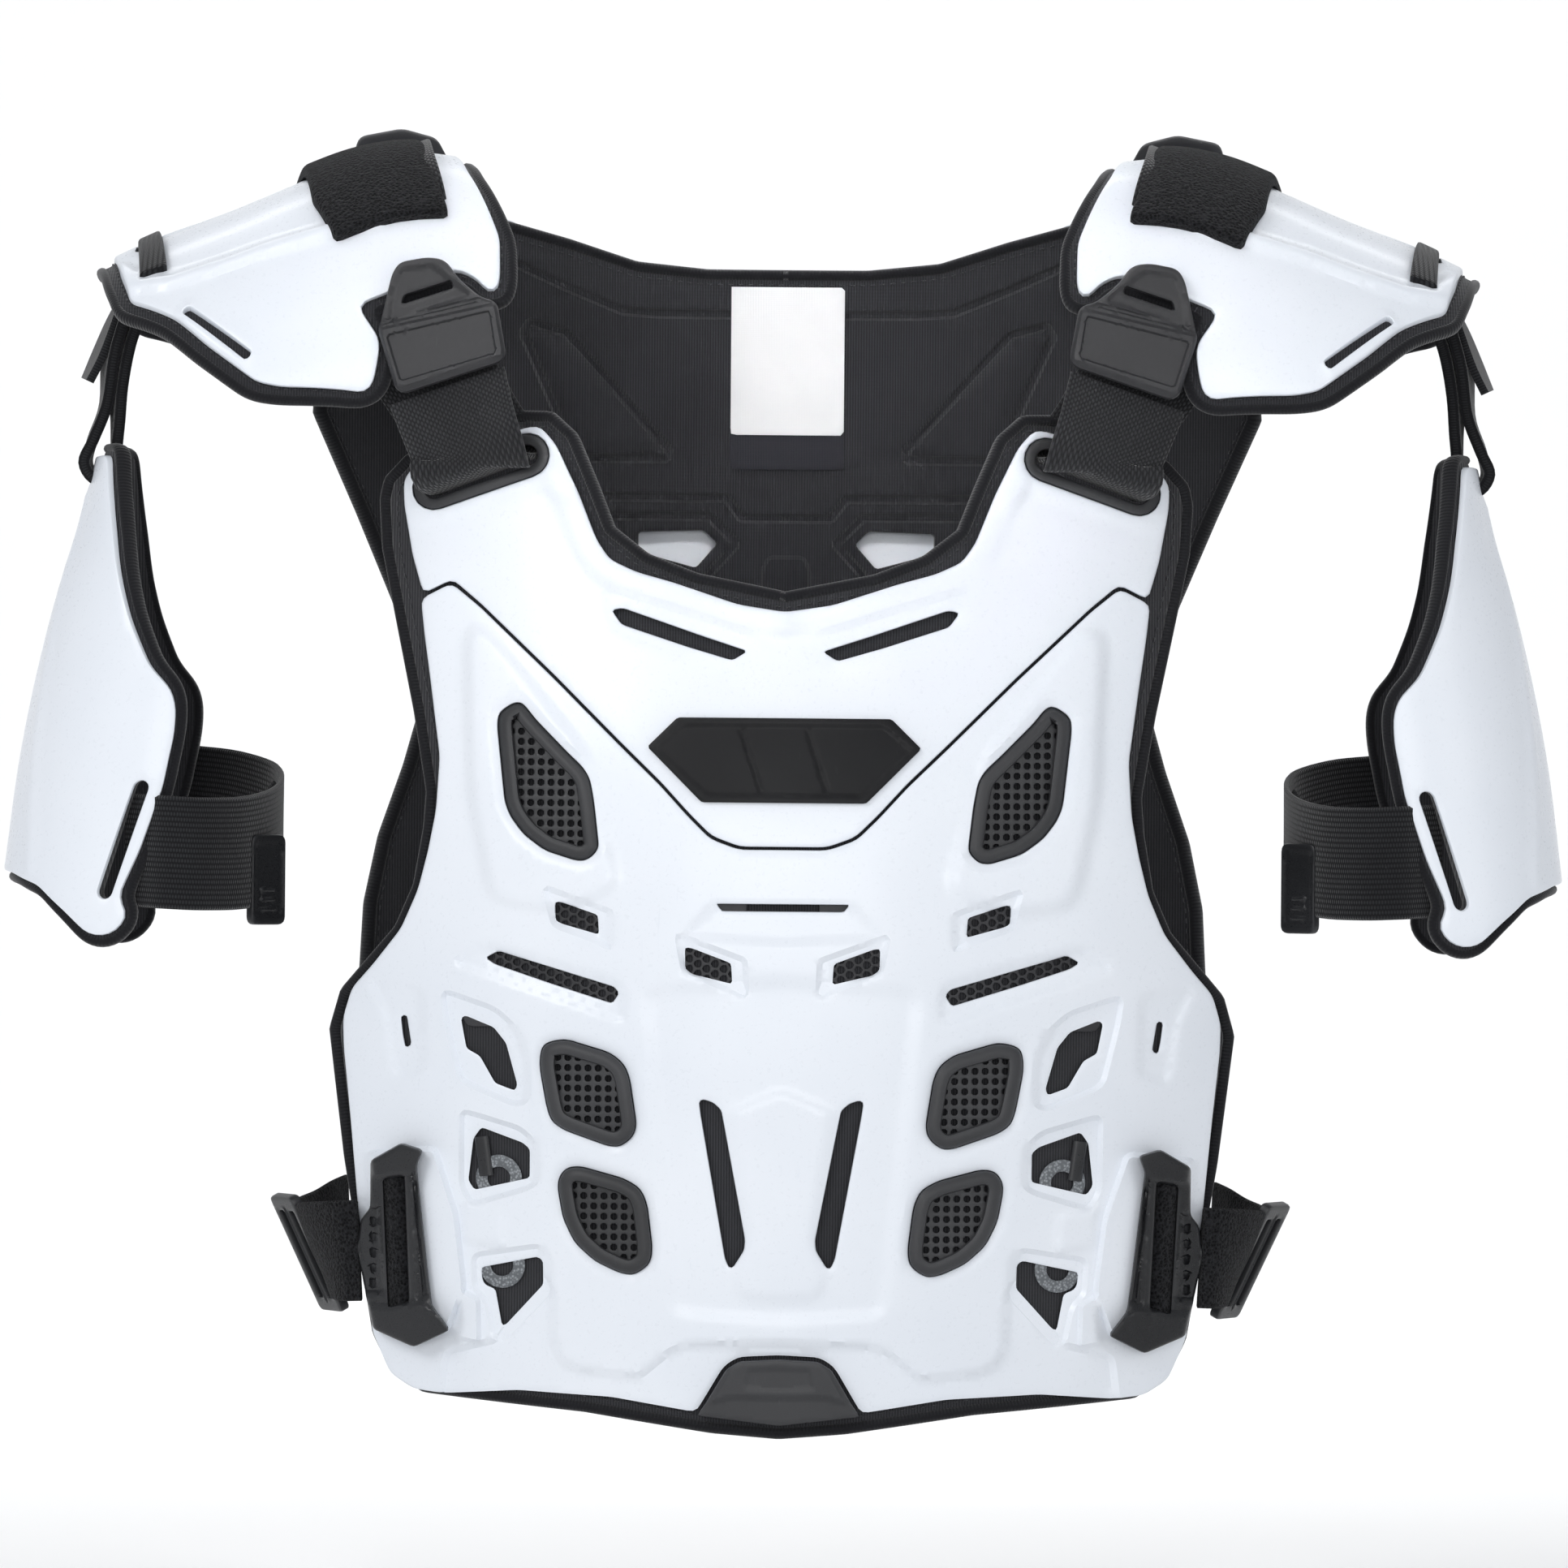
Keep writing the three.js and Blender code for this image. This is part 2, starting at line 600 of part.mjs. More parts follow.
// The loop hangs from the cup's edge and passes round the top of the arm guard.
const linkPath = [
  [cupReach - 10, 0, -29.5], [cupReach - 1, 0, -40], [guardReach - 35, 0, guardTop + 55],
  [guardReach - 30.5, 0, guardTop + 29], [guardReach - 28.5, 0, guardTop + 5],
  [guardReach - 31.5, 0, guardTop - 9], [guardReach - 37.5, 0, guardTop - 10],
  [guardReach - 43, 0, guardTop + 5], [guardReach - 46.5, 0, guardTop + 29],
  [cupReach - 9, 0, -66], [cupReach - 16, 0, -52], [cupReach - 17.5, 0, -36],
];
const armLink = band({
  points: linkPath, across: level, width: linkWidth, thickness: webbingThickness, closed: true,
});

// The rear flap is shorter, so that it ends above the back panel.
const rearCutOutline = [
  [30, -25], [62, -25], [70, -33], [77, -52], [106, -86], [106, -150], [30, -150],
].map(cupPoint);

function rearBlock(outline) {
  const geometry = prism(outline, farAway);
  geometry.translate(0, 0, -farAway);
  geometry.rotateX(Math.PI / 2);
  return solidOf(geometry);
}

const cupLayer = (outline, rearCut, from, to) => frontBlock(outline)
  .intersect(cupSheet(from, to))
  .subtract(rearBlock(rearCut))
  .subtract(shoulderStrap.room)
  .subtract(armLink.room);
const shoulderCup = cupLayer(cupOutline, rearCutOutline, 0, cupWall);
addPair('shoulder_cup', shoulderCup, whiteShell);
const padFront = cupWall + layerGap;
const shoulderPad = cupLayer(
  grown(cupOutline, cupPadEdge),
  grown(rearCutOutline, -cupPadEdge),
  padFront,
  padFront + cupPadThickness,
);
addPair('shoulder_pad', shoulderPad, blackFabric);
addPair('shoulder_strap', shoulderStrap.solid, blackWebbing);

// Arm guard: a bowed plate down the outside of the upper arm

// Columns: down in percent of the guard height, in from the reach in percent of the breadth
const guardLine = [
  [-6, 52.1], [0, 48.6], [15, 39], [26, 29.5], [41, 19.1], [60, 8.7], [84, 0], [106, -6.5],
];
const guardIn = curveThrough(guardLine);

function guardPlace(z, turn, offset) {
  const down = ((guardTop - z) / guardHeight) * 100;
  const angle = turn * degrees;
  const middle = guardReach - (guardIn(down) / 100) * guardBreadth - guardBulge;
  return new THREE.Vector3(
    middle + (guardBulge - offset) * Math.cos(angle),
    (guardHalfDepth - offset) * Math.sin(angle),
    z,
  );
}

const guardSheet = (from, to) => sheet(
  guardPlace,
  [guardTop + guardHeight * 0.06, guardTop - guardHeight * 1.06, 3],
  [-105, 105, 10],
  [from, to],
);

// Columns: in from the reach in percent of the breadth, down in percent of the guard height
const guardPoint = ([inwards, down]) => new THREE.Vector2(
  guardReach - (inwards / 100) * guardBreadth, guardTop - (down / 100) * guardHeight);
const guardOutline = [
  [56.8, 0], [60.3, 13], [65.1, 24.4], [72.4, 34.3], [84.2, 44], [96.3, 48.7], [99.8, 52.5],
  [98.5, 58], [92.4, 69], [79.8, 82], [68.1, 91.4], [73.3, 95.5], [66.4, 98.7],
  [58.1, 99.7], [49.9, 99], [37.7, 94.8], [21.7, 89.4], [3.5, 86.4], [-13, 82], [-13, 30],
  [17.4, 0],
].map(guardPoint);

// Columns: in from the guard's reach, y, down from the guard's top
const armStrapPath = [
  [53, -50, 162], [61, -57, 162.5], [71, -63.5, 163], [85, -60, 163.5], [100, -44, 163],
  [110, -20, 160], [113, 6, 155], [108, 32, 149], [91, 52, 144], [73, 62, 142], [61, 58, 141],
].map(([inwards, y, down]) => [guardReach - inwards, y, guardTop - down]);
const armStrap = band({
  points: armStrapPath, across: upright, width: armStrapWidth, thickness: webbingThickness,
});
const guardBlock = frontBlock(guardOutline);
const armGuard = guardBlock.intersect(guardSheet(0, guardWall))
  .subtract(armStrap.room).subtract(armLink.room);
addPair('arm_guard', armGuard, whiteShell);
const guardPadFront = guardWall + layerGap;
const armPad = frontBlock(grown(guardOutline, guardPadEdge))
  .intersect(guardSheet(guardPadFront, guardPadFront + guardPadThickness))
  .subtract(armStrap.room).subtract(armLink.room);
addPair('arm_pad', armPad, blackFabric);
addPair('arm_link', armLink.solid, blackWebbing);
addPair('arm_strap', armStrap.solid, blackWebbing);

// Back panel: its surface bends round the back, the offsets count outwards, towards the rear

// Columns: down in percent of the panel height, set forward in percent of the half width
const backSetForward = curveThrough([[-4, 5.5], [15, 2], [40, 0], [70, 1.5], [104, 0]]);
const backPoint = ([across, down]) => new THREE.Vector2(
  (across / 100) * backHalfWidth, backTop - (down / 100) * backHeight);

function backFace(x, z) {
  const round = backBend - Math.sqrt(backBend ** 2 - x ** 2);
  const down = ((backTop - z) / backHeight) * 100;
  return backInside - round - (backSetForward(down) / 100) * backHalfWidth;
}

function backPlace(x, z, offset) {
  const stretch = Math.hypot(1, (backFace(x + 1, z) - backFace(x - 1, z)) / 2);
  return new THREE.Vector3(x, backFace(x, z) + offset * stretch, z);
}

function backPiece(outline, holes, from, to) {
  const reach = backHalfWidth * 1.08;
  const block = sheet(
    backPlace,
    [-reach, reach, 8],
    [backTop + backHeight * 0.04, backTop - backHeight * 1.04, 4],
    [from, to],
  );
  return frontBlock(outline, holes).intersect(block);
}

// Columns: across in percent of the half width, down in percent of the height
const backHalf = [
  [0, 4.3], [17, 4.3], [32, 3.7], [46.3, 1.8], [58.9, 0.4], [66.3, -0.2],
  [73, 0.4], [80, 3.8], [85, 7.2], [92, 10.8], [98, 14.6], [98.9, 18], [90, 26.8], [82.4, 34.7],
  [76.6, 42.5], [76.8, 44.2], [80, 49.2],
  [85, 55.5], [87.8, 61.5], [88.5, 67.6], [88, 86], [84, 91.5], [75, 95.5], [50, 99], [0, 100],
].map(backPoint);
const backOuter = wholeFrom(backHalf);
const backLinerEdge = grown(backOuter, -bindingWidth - fitGap);
const backTowerTop = [[57, -0.9], [68, -1.5], [70, 8], [55, 8]].map(backPoint);
addPiece('back_liner',
  passedByStraps(backPiece(backLinerEdge, [], 0, backLinerThickness)), blackFabric);
const backBindingFront = (backLinerThickness - bindingThickness) / 2;
addPiece('back_binding', backPiece(backOuter, [grown(backOuter, -bindingWidth)],
  backBindingFront, backBindingFront + bindingThickness), blackFabric);
const backShellFront = backBindingFront + bindingThickness + layerGap;
const backShellBack = backShellFront + shellWall;
const towerTops = onBothSides(backTowerTop)
  .map((outline) => backPiece(outline, [], backShellFront, backShellBack));
addPiece('back_shell', passedByStraps(
  backPiece(grown(backOuter, -backShellInset), [], backShellFront, backShellBack)
    .add(towerTops[0]).add(towerTops[1]),
), whiteShell);

// Blank cloth label with a dark lower flap, sewn on the middle of the back liner
const labelThickness = 0.8;
const labelHalfWidth = 12;
const labelTop = 5.9;
const labelFold = 19.2;
const labelHem = 22.3;
const labelPiece = (top, hem) => backPiece([
  [-labelHalfWidth, top], [labelHalfWidth, top], [labelHalfWidth, hem], [-labelHalfWidth, hem],
].map(backPoint), [], -fitGap - labelThickness, -fitGap);
addPiece('care_label', labelPiece(labelTop, labelFold), labelCloth);
addPiece('care_label_flap', labelPiece(labelFold + 0.1, labelHem), blackFabric);

// Side buckles, their pins and hooks on the chest plate
const buckleOutline = panelOutline([
  [84.4, 72.2], [79.5, 72.8], [80.9, 74.4], [78.1, 85], [77.2, 87.9], [73.1, 90.2], [81.2, 92],
  [88.3, 90.2], [91.3, 85.9], [93.4, 82.6], [92.8, 79.8], [90.4, 78.6], [89.8, 74],
]);
const buckleWindow = panelOutline([[88.4, 75.8], [83.6, 75.4], [82.4, 87.6], [87, 88.2]]);
const buckleFront = -fieldProud - fitGap - buckleHeight;
addPair('side_buckle',
  panelPiece(buckleOutline, [buckleWindow], buckleFront, -fieldProud - fitGap), blackPlastic);

// Strap end rolled round the bar in the buckle's window
const rollHalf = 2.9;
const buckleRoll = panelOutline([
  [86 + rollHalf * 0.5, 76.4], [86 - rollHalf * 0.4, 76.1], [84.8 - rollHalf * 0.4, 87.2],
  [84.8 + rollHalf * 0.5, 87.5],
]);
addPair('buckle_pin', panelPiece(buckleRoll, [], -fieldProud - fitGap - 4.6, -fieldProud - fitGap),
  blackWebbing);

// C-shaped hooks, seen in the side openings that frame them
const hookOuter = 9.5;
const hookInner = 5.5;
const hooks = {
  upper: { middle: [61.5, 74.2], opening: openingMiddle },
  lower: { middle: [58.5, 85.4], opening: openingLower },
};
const arc = (centre, radius, from, to, steps) => Array.from({ length: steps + 1 }, (_, i) => {
  const angle = (from + ((to - from) * i) / steps) * degrees;
  return new THREE.Vector2(
    centre.x + radius * Math.cos(angle), centre.y + radius * Math.sin(angle));
});
for (const [name, { middle, opening }] of Object.entries(hooks)) {
  const centre = panelPoint(middle);
  const ring = [...arc(centre, hookOuter, -60, 200, 8), ...arc(centre, hookInner, 200, -60, 8)];
  const hook = panelPiece(ring, [], 0, linerFront - fitGap)
    .intersect(frontBlock(grown(opening, -fitGap)));
  addPair(`buckle_hook_${name}`, hook, greyPlastic);
}

// Side straps run from under the buckles round the waist to the back liner, through a slider

// Columns: x, y, z, and the swing of the width
const sideStrapPath = [
  [171, -67, -441, 0], [180, -62, -441.5, 0], [190, -47, -442.5, 0], [198, -26, -443.5, 0],
  [202.5, 0, -444, 0], [203, 26, -443, 0], [197, 48, -441, 0], [186, 60, -438, 0],
];
const sideStrap = band({
  points: sideStrapPath, across: upright, width: sideStrapWidth, thickness: webbingThickness,
});
addPair('side_strap', sideStrap.solid, blackWebbing);

// The slider is a frame across the strap: two uprights in front of it and a bar behind.
const sliderHalfWidth = 11;
const sliderHalfHeight = sideStrapWidth / 2 + 6;
const sliderTurn = 62;

// Pull tabs and small plates: an outline in the front view, thickened forwards, tilted and turned

function plate({ outline, holes = [], middle, tilt = 0, turn = 0, thickness }) {
  const block = (edge, from, to) => {
    const geometry = prism(edge, to - from);
    geometry.translate(0, 0, from);
    geometry.rotateX(Math.PI / 2 + tilt * degrees);
    geometry.rotateZ(turn * degrees);
    geometry.translate(...middle);
    return solidOf(geometry);
  };
  return holes.reduce(
    (solid, hole) => solid.subtract(block(hole, -1, thickness + 1)),
    block(outline, 0, thickness),
  );
}

const rectangle = (halfWidth, halfHeight, corner = 0) => [
  [-halfWidth + corner, -halfHeight], [halfWidth - corner, -halfHeight],
  [halfWidth, -halfHeight + corner], [halfWidth, halfHeight - corner],
  [halfWidth - corner, halfHeight], [-halfWidth + corner, halfHeight],
  [-halfWidth, halfHeight - corner], [-halfWidth, -halfHeight + corner],
].map(([x, y]) => new THREE.Vector2(x, y));

addPair('strap_slider', plate({
  outline: rectangle(sliderHalfWidth, sliderHalfHeight, 3),
  middle: [199.5, -19, -443.5],
  turn: sliderTurn,
  thickness: sliderThickness,
}).subtract(sideStrap.room), blackPlastic);

// Columns: across and up in percent of the webbing width, from the middle of the tab
const tabPoint = ([across, up]) => new THREE.Vector2(
  (across / 100) * webbingWidth, (up / 100) * webbingWidth);
const tabOutline = [
  [4, 55], [-18, 50], [-40, 25], [-47, 8], [-52, -33], [-48, -39], [33, -56], [40, -49],
  [43, 0], [36, 40], [30, 46],
].map(tabPoint);
const fingerSlit = [[-17, 35], [21, 38], [22, 34], [-18, 31]].map(tabPoint);
addPair('front_tab', plate({
  outline: tabOutline, holes: [fingerSlit], middle: [140, -80.6, -66], tilt: -3, turn: 8,
  thickness: tabThickness,
}), blackRubber);

const rearTabOutline = [
  [-45, 20], [-30, 46], [0, 54], [36, 46], [42, 20], [46, -44], [38, -50], [-38, -50], [-46, -44],
].map(tabPoint);
addPair('rear_tab', plate({
  outline: rearTabOutline, middle: [165, 86.3, 0], tilt: 24, turn: -10, thickness: tabThickness,
}).subtract(shoulderStrap.room), blackRubber);

// Flat end tab that hangs on the arm strap
addPair('arm_strap_tab', plate({
  outline: rectangle(7, 23, 3),
  middle: [guardReach - 110, -16, guardTop - 173],
  turn: 62,
  thickness: 2.4,
}).subtract(armStrap.room), blackPlastic);

export default object;
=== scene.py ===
"""Roost deflector: fine shells, padded liners, webbing and hardware dressed over the solids."""
import math

import bpy
import numpy as np
from mathutils import Matrix, Vector
from mathutils.geometry import delaunay_2d_cdt


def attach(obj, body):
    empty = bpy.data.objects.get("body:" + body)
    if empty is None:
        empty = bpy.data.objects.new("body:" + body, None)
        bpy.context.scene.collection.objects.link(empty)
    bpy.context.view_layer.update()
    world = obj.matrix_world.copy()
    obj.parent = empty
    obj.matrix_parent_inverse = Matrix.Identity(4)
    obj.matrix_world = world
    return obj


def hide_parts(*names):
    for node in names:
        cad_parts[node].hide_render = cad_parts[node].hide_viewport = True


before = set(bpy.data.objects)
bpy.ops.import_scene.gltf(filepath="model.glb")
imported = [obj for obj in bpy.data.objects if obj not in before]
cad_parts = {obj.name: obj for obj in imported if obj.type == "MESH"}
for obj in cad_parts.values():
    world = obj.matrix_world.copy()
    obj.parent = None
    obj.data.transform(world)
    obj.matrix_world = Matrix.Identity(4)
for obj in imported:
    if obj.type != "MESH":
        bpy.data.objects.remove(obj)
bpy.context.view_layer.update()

# Sizes in millimetres, as in the solids
MM = 0.001
PANEL_HALF_WIDTH = 182.0
PANEL_HEIGHT = 417.0
PANEL_TOP = -95.5
PANEL_FRONT = -130.0
PANEL_BEND = 260.0
SHELL_WALL = 2.4
LINER_THICKNESS = 6.0
BINDING_WIDTH = 5.0
BINDING_THICKNESS = 8.0
BACK_HALF_WIDTH = 200.0
BACK_HEIGHT = 470.0
BACK_TOP = -12.0
BACK_INSIDE = 112.0
BACK_BEND = 330.0
BACK_LINER_THICKNESS = 7.0
WEBBING_WIDTH = 50.0
WEBBING_THICKNESS = 2.0
STRAP_LEAN = math.radians(20)
STRAP_SWING = 0.45
CUP_WALL = 2.6
CUP_HALF_DEPTH = 80.0
CUP_DROP = 95.0
CUP_REACH = 280.0
GUARD_WALL = 2.6
GUARD_HALF_DEPTH = 62.0
GUARD_BULGE = 62.0
GUARD_REACH = 321.0
GUARD_TOP = -117.0
GUARD_HEIGHT = 198.0
LINER_FRONT = SHELL_WALL + 1.3
LINER_BACK = LINER_FRONT + LINER_THICKNESS
PAD_FILL = 0.7

COARSER = 1.0
TRIANGLE_ROW = 0.87
POINTS_AT_ONCE = 4000
NO_RIM = 99.0  # depth given to points that lie further in than the rim
TINY = 1e-9


# Curves and outlines

def curve_through(rows):
    """Smooth curve through (station, value) rows, as a function of an array of stations."""
    stations = np.array([row[0] for row in rows], float)
    values = np.array([row[1] for row in rows], float)
    slopes = np.gradient(values, stations)

    def at(where):
        where = np.asarray(where, float)
        k = np.clip(np.searchsorted(stations, where) - 1, 0, len(stations) - 2)
        span = stations[k + 1] - stations[k]
        t = np.clip((where - stations[k]) / span, -0.3, 1.3)
        t2, t3 = t * t, t * t * t
        return ((2 * t3 - 3 * t2 + 1) * values[k] + (t3 - 2 * t2 + t) * slopes[k] * span
                + (3 * t2 - 2 * t3) * values[k + 1] + (t3 - t2) * slopes[k + 1] * span)
    return at


def soften(outline, radius, samples=4):
    """Rounds each corner of a closed outline with a short curve."""
    outline = np.asarray(outline, float)
    before, after = np.roll(outline, 1, 0), np.roll(outline, -1, 0)
    result = []
    for point, a, b in zip(outline, before, after):
        to_a, to_b = a - point, b - point
        length_a, length_b = np.linalg.norm(to_a), np.linalg.norm(to_b)
        start = point + to_a / length_a * min(radius, 0.45 * length_a)
        end = point + to_b / length_b * min(radius, 0.45 * length_b)
        for t in np.linspace(0, 1, samples + 1):
            result.append((1 - t) ** 2 * start + 2 * t * (1 - t) * point + t * t * end)
    return np.array(result)


def run_along(line):
    """Distance from the start to each point of a line."""
    return np.concatenate([[0], np.cumsum(np.linalg.norm(np.diff(line, axis=0), axis=1))])


def resampled(outline, step, closed=True):
    """Points at even steps along a closed outline or an open line."""
    line = np.asarray(outline, float)
    if closed:
        line = np.vstack([line, line[:1]])
    run = run_along(line)
    count = max(int(round(run[-1] / step)), 6) if closed else max(int(run[-1] / step), 3)
    stations = np.linspace(0, run[-1], count, endpoint=not closed)
    return np.stack([np.interp(stations, run, column) for column in line.T], 1)


def unit(vectors):
    return vectors / np.maximum(np.linalg.norm(vectors, axis=1), TINY)[:, None]


def right_of(along):
    return np.stack([along[:, 1], -along[:, 0]], 1)


def near_box(points, outline, margin=0.0):
    """True for the points in the box round an outline."""
    low, high = outline.min(0) - margin, outline.max(0) + margin
    return np.all((points > low) & (points < high), 1)


def turning(outline):
    x, y = outline[:, 0], outline[:, 1]
    return 1.0 if np.sum(x * np.roll(y, -1) - np.roll(x, -1) * y) > 0 else -1.0


def outward(outline):
    """Unit normals of a closed outline, pointing away from what it encloses."""
    return unit(right_of(np.roll(outline, -1, 0) - np.roll(outline, 1, 0)) * turning(outline))


def grown(outline, distance, step=1.5):
    even = resampled(outline, step)
    return even + outward(even) * distance


def signed_distance(points, outline):
    """Distance to a closed outline, positive inside."""
    outline = np.asarray(outline, float)
    a, b = outline, np.roll(outline, -1, 0)
    edge = b - a
    size = np.maximum(np.sum(edge * edge, 1), 1e-12)
    nearest = np.empty(len(points))
    inside = np.zeros(len(points), bool)
    for first in range(0, len(points), POINTS_AT_ONCE):
        part = slice(first, first + POINTS_AT_ONCE)
        p = points[part, None, :]
        t = np.clip(np.sum((p - a) * edge, 2) / size, 0, 1)
        gap = p - (a + t[..., None] * edge)
        nearest[part] = np.sqrt(np.min(np.sum(gap * gap, 2), 1))
        over = (a[:, 1] > p[..., 1]) != (b[:, 1] > p[..., 1])
        rise = np.where(np.abs(edge[:, 1]) < TINY, TINY, edge[:, 1])
        left = p[..., 0] < edge[:, 0] * (p[..., 1] - a[:, 1]) / rise + a[:, 0]
        inside[part] = np.sum(over & left, 1) % 2 == 1
    return np.where(inside, nearest, -nearest)


def mirrored(outline):
    return np.asarray(outline)[::-1] * [-1, 1]


def both_sides(outline):
    return [outline, mirrored(outline)]


def whole_from(half):
    """Joins a right half, from the top middle to the bottom middle, with its mirror."""
    half = np.asarray(half, float)
    inner = half[half[:, 0] > 0.01]
    return np.vstack([half, mirrored(inner)])


def smooth_step(t):
    t = np.clip(t, 0, 1)
    return t * t * (3 - 2 * t)


class Field:
    """A raised (or sunk) field: full height inside its outline, with a ramp along its edge."""

    def __init__(self, outline, height, ramp=2.0, round_by=2.5):
        self.outline = resampled(soften(outline, round_by), 1.6)
        self.height, self.ramp = height, ramp

    def at(self, points):
        height = np.zeros(len(points))
        near = near_box(points, self.outline, self.ramp)
        depth = signed_distance(points[near], self.outline)
        height[near] = self.height * smooth_step(depth / self.ramp + 0.5)
        return height

    def guides(self):
        normals = outward(self.outline)
        return [self.outline + normals * self.ramp * k for k in (-0.55, 0.55)]


class Groove:
    """A channel along an open line of points."""

    def __init__(self, line, depth, width=3.0):
        self.line, self.depth, self.width = np.asarray(line, float), depth, width

    def at(self, points):
        nearest = np.full(len(points), 1e9)
        for a, b in zip(self.line[:-1], self.line[1:]):
            edge = b - a
            t = np.clip((points - a) @ edge / (edge @ edge), 0, 1)
            nearest = np.minimum(nearest, np.linalg.norm(points - a - t[:, None] * edge, axis=1))
        return -self.depth * smooth_step(1.25 - nearest / (self.width / 2))

    def guides(self):
        result = []
        for a, b in zip(self.line[:-1], self.line[1:]):
            along = (b - a) / np.linalg.norm(b - a)
            side = np.array([along[1], -along[0]]) * self.width / 2
            count = max(int(np.linalg.norm(b - a) / 1.6), 2)
            middle = a + np.linspace(0, 1, count)[:, None] * (b - a)
            result += [middle + side * k for k in (-1.2, -0.5, 0.5, 1.2)]
        return result


# Surfaces: each place(points, offset) gives points in space, the offset counting inwards

panel_set_back = curve_through(
    [(-5, 24), (10, 14), (22, 8), (42, 1), (60, 0), (80, 3), (104, 8)])
back_set_forward = curve_through([(-4, 5.5), (15, 2), (40, 0), (70, 1.5), (104, 0)])


def bend_at(x, radius):
    return radius - np.sqrt(radius ** 2 - x ** 2)


def panel_face(x, z):
    down = (PANEL_TOP - z) / PANEL_HEIGHT * 100
    return PANEL_FRONT + bend_at(x, PANEL_BEND) + panel_set_back(down) / 100 * PANEL_HALF_WIDTH


def panel_place(points, offset):
    x, z = points[:, 0], points[:, 1]
    across = (panel_face(x + 1, z) - panel_face(x - 1, z)) / 2
    down = (panel_face(x, z + 1) - panel_face(x, z - 1)) / 2
    stretch = np.sqrt(1 + across ** 2 + down ** 2)
    return np.stack([x, panel_face(x, z) + offset * stretch, z], 1)


def back_face(x, z):
    down = (BACK_TOP - z) / BACK_HEIGHT * 100
    return BACK_INSIDE - bend_at(x, BACK_BEND) - back_set_forward(down) / 100 * BACK_HALF_WIDTH


def back_place(points, offset):
    """The back panel's inner face; the offset counts outwards, to the rear."""
    x, z = points[:, 0], points[:, 1]
    across = (back_face(x + 1, z) - back_face(x - 1, z)) / 2
    return np.stack([x, back_face(x, z) + offset * np.sqrt(1 + across ** 2), z], 1)


cup_ridge = curve_through(
    [(38, 4), (48, 8), (57, 10), (64, 6.5), (73, -3.5), (82, -15), (93, -28), (101, -39)])


def ridge_at(x):
    return cup_ridge(x / CUP_REACH * 100) / 100 * CUP_DROP


def cup_place(points, offset):
    """Points are (x, run over the shoulder), the run being zero on the ridge."""
    x, angle = points[:, 0], points[:, 1] / CUP_DROP
    out = unit(np.stack([np.sin(angle) * CUP_DROP, np.cos(angle) * CUP_HALF_DEPTH], 1))
    return np.stack([
        x,
        CUP_HALF_DEPTH * np.sin(angle) - offset * out[:, 0],
        ridge_at(x) - CUP_DROP * (1 - np.cos(angle)) - offset * out[:, 1],
    ], 1)


guard_out = curve_through(
    [(-6, 88), (0, 88.8), (15, 91), (26, 93.2), (41, 95.6), (60, 98), (84, 100), (106, 101.5)])


def guard_line(z):
    return guard_out((GUARD_TOP - z) / GUARD_HEIGHT * 100) / 100 * GUARD_REACH


def guard_place(points, offset):
    """Points are (run round the arm, z), the run being zero on the outermost line."""
    angle, z = points[:, 0] / GUARD_BULGE, points[:, 1]
    return np.stack([
        guard_line(z) - GUARD_BULGE + (GUARD_BULGE - offset) * np.cos(angle),
        (GUARD_HALF_DEPTH - offset) * np.sin(angle),
        z,
    ], 1)


# Meshes

def new_piece(name, places, faces, uvs=None, sharp=35):
    """Makes an object from places in millimetres, with its faces turned outwards."""
    places = np.asarray(places, float) * MM
    mesh = bpy.data.meshes.new(name)
    mesh.from_pydata(places.tolist(), [], faces)
    mesh.validate()
    piece = bpy.data.objects.new(name, mesh)
    bpy.context.scene.collection.objects.link(piece)
    if uvs is not None:
        layer = mesh.uv_layers.new(name="run")
        corners = np.empty(len(mesh.loops), np.int32)
        mesh.loops.foreach_get("vertex_index", corners)
        layer.data.foreach_set("uv", np.asarray(uvs, np.float32)[corners].ravel())
    mesh.shade_smooth()
    mesh.set_sharp_from_angle(angle=math.radians(sharp))
    return piece


def volume_sign(places, triangles):
    a, b, c = (places[triangles[:, i]] for i in range(3))
    return 1.0 if np.sum(a * np.cross(b, c)) > 0 else -1.0


